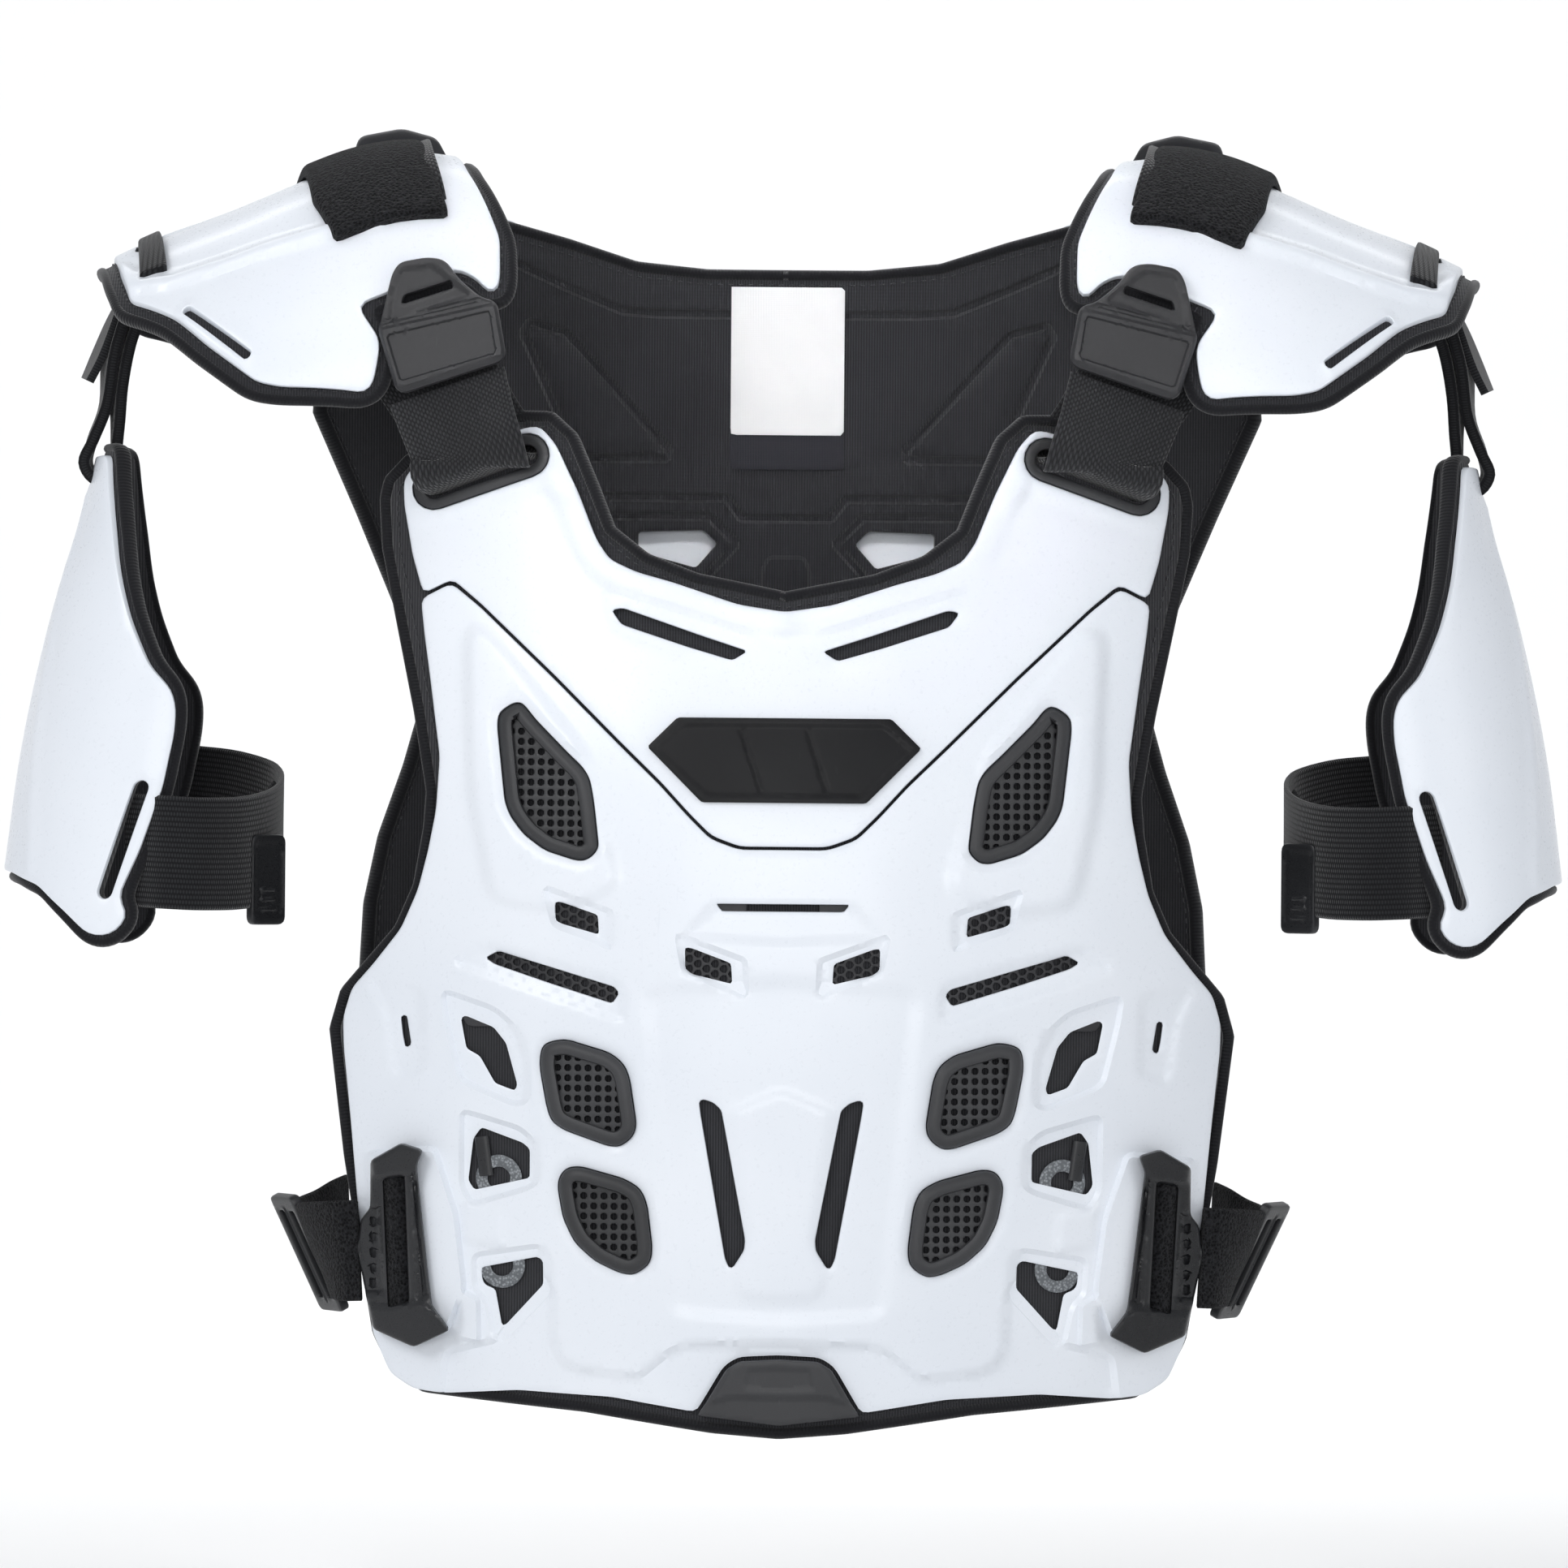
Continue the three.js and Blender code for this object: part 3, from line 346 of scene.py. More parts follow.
def shell_piece(name, place, outline, holes=(), front=0.0, back=SHELL_WALL, relief=(),
                step=2.0, rim=0.9, back_rim=0.0, fine=1.0, sharp=35, swell=None):
    """A curved sheet with an outline, holes, rounded rims and raised fields on its front."""
    step *= COARSER
    loops = [resampled(outline, step * fine)]
    loops += [resampled(hole, min(step * fine, 1.2 * COARSER)) for hole in holes]
    points, depths, edges = [], [], []
    count = 0
    for n, loop in enumerate(loops):
        inwards = -outward(loop) if n == 0 else outward(loop)
        edges += [(count + i, count + (i + 1) % len(loop)) for i in range(len(loop))]
        for k in (0, 0.3, 1.0):
            points.append(loop + inwards * rim * k)
            depths.append(np.full(len(loop), rim * k))
            count += len(loop)
    low, high = np.min(loops[0], 0), np.max(loops[0], 0)
    grid_x, grid_z = np.meshgrid(np.arange(low[0], high[0], step),
                                 np.arange(low[1], high[1], step * TRIANGLE_ROW))
    grid_x[1::2] += step / 2
    grid = np.stack([grid_x.ravel(), grid_z.ravel()], 1)
    guides = [line for field in relief for line in field.guides()]
    if guides:
        guides = np.vstack(guides)
        grid = np.vstack([grid[far_from(grid, guides, 0.55 * step)], guides])
    room = rim + 0.45 * step
    grid = grid[signed_distance(grid, loops[0]) > room]
    for loop in loops[1:]:
        near = near_box(grid, loop, 3 * step)
        keep = np.ones(len(grid), bool)
        keep[near] = signed_distance(grid[near], loop) < -room
        grid = grid[keep]
    points = np.vstack(points + [grid])
    depths = np.concatenate(depths + [np.full(len(grid), NO_RIM)])
    verts, _, triangles, origins, _, _ = delaunay_2d_cdt(
        [Vector(p) for p in points.tolist()], edges, [], 0, 1e-5)
    flat = np.array([tuple(v) for v in verts])
    source = np.array([o[0] if o else -1 for o in origins])
    depth = np.where(source >= 0, depths[source], NO_RIM)
    triangles = np.array(triangles)
    centres = flat[triangles].mean(1)
    keep = signed_distance(centres, loops[0]) > 0
    for loop in loops[1:]:
        near = near_box(centres, loop) & keep
        keep[near] = signed_distance(centres[near], loop) < 0
    triangles = triangles[keep]
    height = np.zeros(len(flat))
    for field in relief:
        height += field.at(flat)
    if swell is not None:
        height += swell(flat)
    drop = rim - np.sqrt(np.maximum(rim ** 2 - (rim - depth) ** 2, 0))
    rounding = np.where(depth < rim, drop, 0)
    back_rounding = rounding * (back_rim / rim)
    upper = place(flat, front - height + rounding)
    lower = place(flat, np.full(len(flat), back) - back_rounding)
    around = [triangles[:, pair] for pair in ([0, 1], [1, 2], [2, 0])]
    unique, counts = np.unique(np.sort(np.vstack(around), 1), axis=0, return_counts=True)
    border = {tuple(pair) for pair in unique[counts == 1]}
    places = np.vstack([upper, lower])
    size = len(flat)
    both_faces = np.vstack([triangles, triangles[:, ::-1] + size])
    faces = both_faces.tolist()
    for a, b, c in triangles.tolist():
        for p, q in ((a, b), (b, c), (c, a)):
            if (min(p, q), max(p, q)) in border:
                faces.append((q, p, p + size, q + size))
    if volume_sign(places - places.mean(0), both_faces) < 0:
        faces = [face[::-1] for face in faces]
    used = sorted({i for face in faces for i in face})
    order = {old: new for new, old in enumerate(used)}
    faces = [tuple(order[i] for i in face) for face in faces]
    flat_both = np.vstack([flat, flat])
    return new_piece(name, places[used], faces, uvs=flat_both[used] * MM, sharp=sharp)


def far_from(points, others, distance):
    """True for the points that lie further than a distance from all the others."""
    taken = {}
    for x, z in others:
        taken.setdefault((int(x // distance), int(z // distance)), []).append((x, z))
    around = [(column, row) for column in (-1, 0, 1) for row in (-1, 0, 1)]
    keep = np.ones(len(points), bool)
    for i, (x, z) in enumerate(points):
        column, row = int(x // distance), int(z // distance)
        for dc, dr in around:
            for other_x, other_z in taken.get((column + dc, row + dr), ()):
                if (other_x - x) ** 2 + (other_z - z) ** 2 < distance ** 2:
                    keep[i] = False
    return keep


def swept(name, line, wide, section, closed=False, sharp=40):
    """Sweeps a closed section (across, up) along a line; wide gives the across directions."""
    line, wide = np.asarray(line, float), np.asarray(wide, float)
    if closed:
        along = np.roll(line, -1, 0) - np.roll(line, 1, 0)
    else:
        along = np.gradient(line, axis=0)
    along = unit(along)
    wide = unit(wide - along * np.sum(wide * along, 1)[:, None])
    up = np.cross(along, wide)
    section = np.asarray(section, float)
    if section.ndim == 2:
        section = np.repeat(section[None], len(line), 0)
    places = (line[:, None] + wide[:, None] * section[..., :1] + up[:, None] * section[..., 1:])
    rings, sides = places.shape[:2]
    uvs = np.stack([section[..., 0], np.repeat(run_along(line)[:, None], sides, 1)], 2) * MM
    last = rings if closed else rings - 1
    faces = []
    for i in range(last):
        k = (i + 1) % rings
        for j in range(sides):
            m = (j + 1) % sides
            faces.append((i * sides + j, i * sides + m, k * sides + m, k * sides + j))
    if not closed:
        faces.append(tuple(range(sides))[::-1])
        faces.append(tuple((rings - 1) * sides + j for j in range(sides)))
    places = places.reshape(-1, 3)
    triangles = np.array([f[:3] for f in faces]
                         + [(f[0], f[2], f[3]) for f in faces if len(f) == 4])
    if volume_sign(places - places.mean(0), triangles) < 0:
        faces = [face[::-1] for face in faces]
    return new_piece(name, places, faces, uvs=uvs.reshape(-1, 2), sharp=sharp)


def oval(width, height, sides=12, power=2.0):
    """A closed oval section, squarer with a higher power."""
    angles = np.arange(sides) * 2 * math.pi / sides
    cos, sin = np.cos(angles), np.sin(angles)
    return np.stack([
        np.sign(cos) * np.abs(cos) ** (2 / power) * width / 2,
        np.sign(sin) * np.abs(sin) ** (2 / power) * height / 2,
    ], 1)


def band_section(width, thickness, edge=0.9, lines=12):
    """Section of a woven band: flat, with soft edges and room for its ribs across."""
    half, top, side = width / 2, thickness / 2, thickness / 2 * 0.3
    across = np.linspace(-half + edge, half - edge, lines)
    upper = [(x, top) for x in across] + [(half, side), (half, -side)]
    return upper + [(x, -top) for x in across[::-1]] + [(-half, -side), (-half, side)]


def smooth_line(rows, samples=6, closed=False):
    """Catmull-Rom curve through rows of numbers."""
    rows = np.asarray(rows, float)
    count = len(rows)
    spans = count if closed else count - 1
    result = []
    for i in range(spans):
        p1, p2 = rows[i], rows[(i + 1) % count]
        p0 = rows[i - 1] if i > 0 or closed else 2 * p1 - p2
        p3 = rows[(i + 2) % count] if i + 2 < count or closed else 2 * p2 - p1
        for t in np.linspace(0, 1, samples, endpoint=False):
            result.append(0.5 * (2 * p1 + (p2 - p0) * t + (2 * p0 - 5 * p1 + 4 * p2 - p3) * t * t
                                 + (3 * p1 - p0 - 3 * p2 + p3) * t ** 3))
    if not closed:
        result.append(rows[-1])
    return np.array(result)


def mirror_piece(piece, name):
    """A copy of a piece mirrored to the other side of the wearer."""
    twin = piece.copy()
    twin.data = piece.data.copy()
    twin.name = twin.data.name = name
    bpy.context.scene.collection.objects.link(twin)
    twin.data.transform(Matrix.Scale(-1, 4, (1, 0, 0)))
    twin.data.flip_normals()
    return twin


def dress(piece, material, slot, replaced=None, pad=None):
    """Gives a piece its finish, its body and the solid that it stands for."""
    piece.data.materials.clear()
    piece.data.materials.append(material)
    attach(piece, "root")
    if replaced:
        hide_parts(replaced)
    return piece


def dress_pair(piece, material, slot, node=None, pad=None):
    """Dresses a right-hand piece named X_right and its mirror X_left."""
    stem = piece.name.removesuffix("_right")
    twin = mirror_piece(piece, stem + "_left")
    dress(piece, material, slot, node and node + "_right", pad)
    dress(twin, material, slot, node and node + "_left", pad)
    return piece, twin


def shell(stem, material, slot, node, place, outline, pair=True, pad=None, **shape):
    """A shell piece and its dress, on both sides or in the middle."""
    name = f"visual_{stem}_right" if pair else f"visual_{stem}"
    piece = shell_piece(name, place, outline, **shape)
    (dress_pair if pair else dress)(piece, material, slot, node, pad)
    return piece


# Node trees

class Tree:
    """Adds nodes to a tree in short lines; sockets given as inputs are linked."""

    def __init__(self, tree):
        self.tree = tree

    def add(self, kind, inputs=None, **settings):
        node = self.tree.nodes.new(kind)
        for key, value in settings.items():
            setattr(node, key, value)
        self.put(node, inputs or {})
        return node

    def put(self, node, inputs):
        for key, value in inputs.items():
            if isinstance(value, bpy.types.NodeSocket):
                self.tree.links.new(value, node.inputs[key])
            else:
                node.inputs[key].default_value = value

    def math(self, operation, a, b=0.0, c=0.0):
        node = self.add("ShaderNodeMath", {0: a, 1: b, 2: c}, operation=operation)
        return node.outputs[0]

    def noise(self, vector, scale, detail=3.0, roughness=0.5):
        node = self.add("ShaderNodeTexNoise", {
            "Vector": vector, "Scale": scale, "Detail": detail, "Roughness": roughness})
        return node.outputs["Fac"]

    def remap(self, value, low, high, to_low, to_high):
        node = self.add("ShaderNodeMapRange", {
            "Value": value, "From Min": low, "From Max": high, "To Min": to_low, "To Max": to_high})
        return node.outputs["Result"]

    def mix(self, factor, a, b):
        node = self.add("ShaderNodeMix", {0: factor, 6: a, 7: b}, data_type="RGBA")
        return node.outputs[2]

    def split(self, vector):
        return self.add("ShaderNodeSeparateXYZ", {0: vector}).outputs

    def place(self):
        return self.add("ShaderNodeTexCoord").outputs["Object"]


FLOAT = "NodeSocketFloat"


def effect(name, build, **inputs):
    """A node group; build(tree, its input sockets) gives the socket for each output."""
    group = bpy.data.node_groups.new(name, "ShaderNodeTree")
    for label, default in inputs.items():
        socket = group.interface.new_socket(name=label, in_out="INPUT", socket_type=FLOAT)
        socket.default_value = default
    outputs = build(Tree(group), group.nodes.new("NodeGroupInput").outputs)
    for label in outputs:
        group.interface.new_socket(name=label, in_out="OUTPUT", socket_type=FLOAT)
    target = group.nodes.new("NodeGroupOutput")
    for label, socket in outputs.items():
        group.links.new(socket, target.inputs[label])
    return group


def placed(tree, group, **inputs):
    """Puts an effect group into a material with its own values."""
    node = tree.add("ShaderNodeGroup", node_tree=group)
    tree.put(node, inputs)
    return node.outputs


def build_moulded(tree, given):
    place = tree.place()
    fine = tree.noise(place, given["Grain"], 2.0)
    broad = tree.noise(place, 9.0, 3.0)
    streak = tree.add("ShaderNodeMapping", {"Vector": place, "Scale": (700.0, 700.0, 60.0)})
    scratch = tree.noise(streak.outputs[0], 1.0, 2.0, 0.6)
    marks = tree.remap(scratch, 0.66, 0.74, 0.0, 1.0)
    patches = tree.remap(tree.noise(place, 30.0, 2.0), 0.52, 0.66, 0.0, 1.0)
    scuffs = tree.math("MULTIPLY", marks, patches)
    return {"Grain": fine, "Cloud": broad, "Scuffs": scuffs}


# Convex edges from pointiness: wear on the dark plastics, painted shade on the white shell
def build_edges(tree, given):
    pointed = tree.add("ShaderNodeNewGeometry").outputs["Pointiness"]
    return {"Edges": tree.remap(pointed, 0.51, 0.58, 0.0, 1.0)}


def build_twill(tree, given):
    place = tree.place()
    x, _, z = tree.split(place)
    rib = tree.math("SINE", tree.math("MULTIPLY", x, given["Ribs"]))
    dots = tree.math("SINE", tree.math("MULTIPLY", z, given["Picks"]))
    woven = tree.math("MULTIPLY_ADD", rib, 0.5, 0.5)
    height = tree.math("MULTIPLY_ADD", dots, 0.16, woven)
    fuzz = tree.noise(place, 1800.0, 2.0)
    return {"Height": tree.math("MULTIPLY_ADD", fuzz, 0.3, height), "Ribs": woven,
            "Cloud": tree.noise(place, 14.0, 3.0)}


def build_weave(tree, given):
    run = tree.add("ShaderNodeUVMap").outputs["UV"]
    across, along, _ = tree.split(run)
    warp = tree.math("SINE", tree.math("MULTIPLY", across, given["Warp"]))
    weft = tree.math("SINE", tree.math("MULTIPLY", along, given["Weft"]))
    crossing = tree.math("MULTIPLY", warp, weft)
    ridges = tree.math("MULTIPLY_ADD", tree.math("ABSOLUTE", warp), 0.6, 0.0)
    height = tree.math("MULTIPLY_ADD", crossing, 0.4, ridges)
    place = tree.place()
    fuzz = tree.noise(place, 1500.0, 2.0)
    return {"Height": tree.math("MULTIPLY_ADD", fuzz, 0.35, height), "Threads": height,
            "Cloud": tree.noise(place, 20.0, 3.0)}


moulded = effect("moulded_surface", build_moulded, Grain=900.0)
edge_wear_and_shade = effect("edge_wear_and_shade", build_edges)
twill = effect("ribbed_cloth", build_twill, Ribs=5200.0, Picks=7000.0)
weave = effect("woven_band", build_weave, Warp=2600.0, Weft=2600.0)


def new_material(name):
    material = bpy.data.materials.new(name)
    material.use_nodes = True
    tree = Tree(material.node_tree)
    return material, tree, material.node_tree.nodes["Principled BSDF"]


def finish_with(tree, shader, height, strength, distance, **inputs):
    """Sets the bump and the other inputs of a shader."""
    bump = tree.add("ShaderNodeBump",
                    {"Height": height, "Strength": strength, "Distance": distance})
    tree.put(shader, {key.replace("_", " "): value for key, value in inputs.items()})
    tree.put(shader, {"Normal": bump.outputs[0]})


def rgb(r, g, b):
    return (r, g, b, 1.0)


def plastic(name, colour, dust_and_shade, roughness, grain_scale=900.0, grain_depth=0.00004, coat=0.0,
            specular=0.4):
    """Moulded plastic or rubber: fine grain, soft clouding, scuffs, and convex edges in the second
    colour (paler wear on the dark plastics, painted bluish shade on the white shell).
    """
    material, tree, shader = new_material(name)
    surface = placed(tree, moulded, Grain=grain_scale)
    edges = placed(tree, edge_wear_and_shade)
    # Convex edges and scuffs take the second colour: real wear on the dark plastics; on the white
    # shell the edges carry painted bluish shade
    wear_and_shade = tree.math("MAXIMUM", tree.math("MULTIPLY", edges["Edges"], 0.35),
                     tree.math("MULTIPLY", surface["Scuffs"], 0.5))
    cloud = tree.remap(surface["Cloud"], 0.35, 0.65, 0.0, 0.5)
    clouded = tree.mix(cloud, rgb(*colour), rgb(*dust_and_shade))
    base = tree.mix(wear_and_shade, clouded, rgb(*dust_and_shade))
    rough = tree.remap(surface["Grain"], 0.3, 0.7, roughness - 0.04, roughness + 0.06)
    rough = tree.math("MULTIPLY_ADD", wear_and_shade, 0.12, rough)
    finish_with(tree, shader, surface["Grain"], 0.5, grain_depth, Base_Color=base, Roughness=rough,
                Coat_Weight=coat, Coat_Roughness=0.12, Specular_IOR_Level=specular)
    return material


def cloth(name, colour, worn_colour, effect_nodes, shade_range, cloud_weight, bump, depth,
          roughness, sheen, sheen_roughness):
    """Cloth with its threads or ribs a little worn, dimmed in soft clouds."""
    material, tree, shader = new_material(name)
    group, scales, shade_by = effect_nodes
    threads = placed(tree, group, **scales)
    shade = tree.mix(tree.remap(threads[shade_by], *shade_range), rgb(*colour), rgb(*worn_colour))
    cloud = tree.remap(threads["Cloud"], 0.35, 0.7, 0.0, cloud_weight)
    dim = tree.mix(cloud, shade, rgb(*colour))
    finish_with(tree, shader, threads["Height"], bump, depth, Base_Color=dim, Roughness=roughness,
                Sheen_Weight=sheen, Sheen_Roughness=sheen_roughness, Specular_IOR_Level=0.12)
    return material


def ribbed_cloth(name, colour, worn_colour, ribs, picks, depth=0.00022, sheen=0.25):
    return cloth(name, colour, worn_colour, (twill, {"Ribs": ribs, "Picks": picks}, "Ribs"),
                 (0.0, 1.0, 0.15, 0.85), 0.45, 0.8, depth, 0.82, sheen, 0.5)


def woven_cloth(name, colour, worn_colour, warp, weft, depth=0.0003, roughness=0.75):
    return cloth(name, colour, worn_colour, (weave, {"Warp": warp, "Weft": weft}, "Threads"),
                 (0.0, 0.9, 0.0, 1.0), 0.5, 0.9, depth, roughness, 0.3, 0.45)


def speckled_plastic():
    """Grey recycled-looking plastic of the hooks, with pale and dark specks."""
    material, tree, shader = new_material("speckled_grey")
    place = tree.place()
    specks = tree.add("ShaderNodeTexVoronoi", {"Vector": place, "Scale": 900.0}).outputs["Distance"]
    tone = tree.remap(specks, 0.1, 0.6, 0.0, 1.0)
    colour = tree.mix(tone, rgb(0.32, 0.34, 0.36), rgb(0.11, 0.12, 0.13))
    finish_with(tree, shader, specks, 0.4, 0.00008, Base_Color=colour, Roughness=0.45)
    return material


def loop_pile():
    """Loop side of the hook-and-loop on top of the shoulder straps."""
    material, tree, shader = new_material("loop_pile")
    place = tree.place()
    curls = tree.add("ShaderNodeTexVoronoi", {"Vector": place, "Scale": 760.0})
    tufts = tree.noise(place, 900.0, 5.0, 0.75)
    height = tree.math("MULTIPLY_ADD", tufts, 1.2, curls.outputs["Distance"])
    tone = tree.remap(height, 0.75, 1.35, 0.0, 1.0)
    colour = tree.mix(tone, rgb(0.001, 0.001, 0.0015), rgb(0.02, 0.0205, 0.023))
    finish_with(tree, shader, height, 1.0, 0.0008, Base_Color=colour, Roughness=0.9,
                Sheen_Weight=0.08, Sheen_Roughness=0.4, Specular_IOR_Level=0.1)
    return material


# The white shell's second colour is a painted bluish shade, laid on its convex edges and mixed into
# its random clouds and scuffs
white_shell = plastic("white_shell", (0.83, 0.865, 0.92), (0.74, 0.785, 0.85), 0.3,
                      700.0, 0.00003, coat=0.12)
tab_rubber = plastic("tab_rubber", (0.018, 0.018, 0.02), (0.042, 0.042, 0.046), 0.42, 1300.0)
black_rubber = plastic("black_rubber", (0.024, 0.0245, 0.026), (0.06, 0.061, 0.066), 0.46,
                       1600.0, 0.00006)
black_plastic = plastic("black_plastic", (0.008, 0.0085, 0.01), (0.03, 0.031, 0.034), 0.3,
                        1500.0, 0.00009)
emblem_black = plastic("emblem_black", (0.004, 0.004, 0.005), (0.014, 0.0145, 0.016), 0.4,
                       1200.0, 0.00003, specular=0.2)
net_black = plastic("net_black", (0.015, 0.015, 0.017), (0.05, 0.05, 0.055), 0.5)
liner_cloth = ribbed_cloth("liner_cloth", (0.014, 0.014, 0.016), (0.05, 0.051, 0.057),
                           5600.0, 4200.0)
binding_tape = woven_cloth("binding_tape", (0.009, 0.009, 0.011), (0.034, 0.035, 0.038),
                           300.0, 4400.0, 0.00035, 0.8)
webbing = woven_cloth("webbing", (0.008, 0.008, 0.009), (0.046, 0.047, 0.051), 2500.0, 2700.0,
                      0.0004)
elastic = woven_cloth("elastic", (0.003, 0.003, 0.004), (0.03, 0.031, 0.034), 1500.0, 5600.0)
stitch_thread = woven_cloth("stitch_thread", (0.02, 0.02, 0.023), (0.07, 0.071, 0.078), 3000.0,
                            9000.0, 0.0001, 0.6)
hook_grey = speckled_plastic()
label_white = ribbed_cloth("label_white", (0.92, 0.925, 0.93), (0.95, 0.955, 0.96), 9000.0,
                           11000.0, 0.00006, 0.1)
label_dark = ribbed_cloth("label_dark", (0.02, 0.02, 0.025), (0.05, 0.05, 0.058), 9000.0, 11000.0,
                          0.00006, 0.1)
pile = loop_pile()


# Panel outlines: across in percent of the half width, down in percent of the height

def outlines_on(half_width, height, top):
    def outline(rows):
        return np.asarray(rows, float) / 100 * [half_width, -height] + [0, top]
    return outline


panel_outline = outlines_on(PANEL_HALF_WIDTH, PANEL_HEIGHT, PANEL_TOP)
back_outline = outlines_on(BACK_HALF_WIDTH, BACK_HEIGHT, BACK_TOP)


def alone(outline):
    return [outline]


def whole(half):
    return [whole_from(half)]


def fields(table, sides=both_sides, outline_of=panel_outline, factor=1.0):
    """Fields from rows of outline, height, ramp and corner radius."""
    return [Field(outline, height * factor, ramp, radius)
            for rows, height, ramp, radius in table for outline in sides(outline_of(rows))]


yoke_half = panel_outline([
    [0, 20.5], [10.5, 19.8], [24.9, 17.7], [33.1, 16.7], [39, 15.5], [42, 13.6], [46.3, 8.9],
    [51.5, 4.2], [55, 2.5], [58.2, 2.6], [83.8, 6.4], [85.8, 7.6], [85.6, 10], [83.5, 15],
    [80.9, 18.8], [74.3, 17.4], [67.7, 19.8], [51, 26.7], [36, 33.2], [27, 37], [20.7, 40],
    [15.8, 42.1], [9.6, 43.1], [0, 43.1],
])
plate_half = panel_outline([
    [0, 43.4], [9.8, 43.4], [16.1, 42.4], [21, 40.3], [27.3, 37.3], [36.3, 33.5], [51.3, 27],
    [68, 20.1], [74.5, 17.8], [81.4, 19.3], [80.6, 22.4], [78.9, 27.4], [76.6, 34.7],
    [77.3, 39.9], [79, 43.8], [81.2, 47.6], [85, 51.4], [91.3, 54.9], [96.2, 57.3], [98.2, 60.2],
    [98, 63], [96.4, 69.5], [94.6, 78], [90.9, 90.9], [86.8, 94.8], [81.5, 96.2], [74.6, 96.5],
    [57.8, 95.9], [37, 96.3], [18.3, 97.6], [16.9, 96.6], [12.2, 93.1], [9, 92.2], [0, 92],
])
liner_half = panel_outline([
    [0, 18.5], [19.2, 16.8], [30.3, 14.9], [37.9, 12.3], [41.7, 8.1], [46.5, 3.2], [52, 1],
    [59.5, 0.9], [84.8, 5], [90, 7.4], [91, 9.5], [90.2, 14.4], [82.4, 30.3], [79.3, 38.2],
    [79.9, 41.7], [82, 47.1], [86, 51.1], [98.4, 57.4], [101, 61.3], [97.4, 73.8], [90.6, 91],
    [86.4, 94.7], [79, 96.6], [42.8, 97.9], [14.7, 99.7], [0, 100.2],
])
yoke_vent = panel_outline([
    [38.5, 20.4], [36, 20.2], [18.8, 22.8], [8.3, 24.3], [11.6, 25.2], [21.7, 23.9], [36.2, 21.8],
])
slot_upper = panel_outline([
    [50.3, 48.6], [49, 48.6], [40.8, 49.8], [40.5, 51.7], [48.8, 50.7], [50.2, 50.4],
])
slot_inner = panel_outline([
    [21.5, 52.8], [19.9, 52.9], [11.3, 54.3], [11, 56.3], [19.7, 55.4], [21.4, 54.9],
])
slot_long = panel_outline([
    [65.8, 54.1], [62.9, 53.4], [51.8, 54.8], [37, 56.7], [35.9, 57.3], [37.4, 58.3],
    [51.6, 56.4], [63.6, 54.7],
])
slot_middle = panel_outline([[14.7, 48.6], [13.4, 49.3], [-13.4, 49.3], [-14.7, 48.6]])
slot_side = panel_outline([
    [84.8, 59.9], [83.5, 59.8], [82.4, 62.7], [83.7, 63], [84.3, 61.7],
])
opening_upper = panel_outline([
    [71.2, 60], [70.3, 59.7], [63.8, 60.8], [61, 62.3], [58.4, 66.3], [58.9, 66.9], [63.4, 66.2],
    [65.4, 64.7], [66.9, 63.6], [69.9, 62.9], [70.5, 61.6],
])
opening_middle = panel_outline([
    [68.2, 71.6], [66.4, 70.5], [57.1, 71.9], [55.5, 72.5], [55.5, 75.3], [67.9, 76.6],
    [69.3, 75.7],
])
opening_lower = panel_outline([
    [66.2, 84.1], [53.6, 82.9], [52.4, 83.3], [52.3, 85.6], [60.6, 89.6], [61.5, 89.7],
    [63, 86.2], [65.3, 85.8], [66, 85.3],
])
slot_vee = panel_outline([
    [18.1, 67.6], [17.2, 67.4], [15, 67.7], [13.2, 68.4], [12.6, 69.7], [7.7, 80.9], [7.9, 81.9],
    [10.3, 83.6], [11.2, 83.6], [12.1, 82.7], [17.7, 68.9],
])
vent_outlines = {
    "upper": panel_outline([
        [59.8, 29.4], [63.3, 30.4], [63.5, 31.7], [61.6, 39], [60.3, 40.4], [57.3, 42.1],
        [52.6, 43.6], [45.2, 44.6], [42.9, 44.4], [41, 43.5], [40.9, 43], [42, 39], [43, 36.7],
        [44.6, 35.6], [47.6, 34.4], [55.3, 31], [58, 29.5],
    ]),
    "mid": panel_outline([
        [53.2, 63.5], [52.6, 62.4], [49.9, 62], [47.4, 61.9], [37.9, 63.1], [34.9, 64.1],
        [33.6, 65.4], [32, 69.9], [32.6, 71], [35.3, 72], [37.8, 72], [47.9, 70.5], [50.6, 69.7],
        [51.6, 68.4], [53.2, 64.7],
    ]),
    "low": panel_outline([
        [48.9, 75.3], [47.4, 74.3], [44.4, 74.1], [34.7, 75.2], [31, 76.1], [29.5, 77.6],
        [28.3, 81.8], [28.7, 83.3], [32.2, 84.4], [35.3, 84.2], [40.8, 83.1], [45.2, 81.4],
        [47.8, 79.1], [49, 76.3],
    ]),
}
panel_outer = whole_from(liner_half)

# Slots of the towers, as wide as the webbing that passes through them
SLOT_RADIUS = 4.2
GROMMET_RADIUS = SLOT_RADIUS + 4.6
slot_ends = panel_outline([[79.7, 8.6], [56.8, 5.2]])


def stadium(first, second, radius, steps=8):
    along = math.atan2(second[1] - first[1], second[0] - first[0])
    points = []
    for centre, start in ((second, along - math.pi / 2), (first, along + math.pi / 2)):
        for k in range(steps + 1):
            angle = start + math.pi * k / steps
            points.append([centre[0] + radius * math.cos(angle),
                           centre[1] + radius * math.sin(angle)])
    return np.array(points)


slot_along = (slot_ends[1] - slot_ends[0]) / np.linalg.norm(slot_ends[1] - slot_ends[0])
slot_half = WEBBING_WIDTH / math.hypot(1, STRAP_SWING) / 2 - SLOT_RADIUS + 1.6
slot_centres = [slot_ends.mean(0) + slot_along * slot_half * k for k in (-1, 1)]


def tower_slot(radius):
    return stadium(slot_centres[0], slot_centres[1], radius)


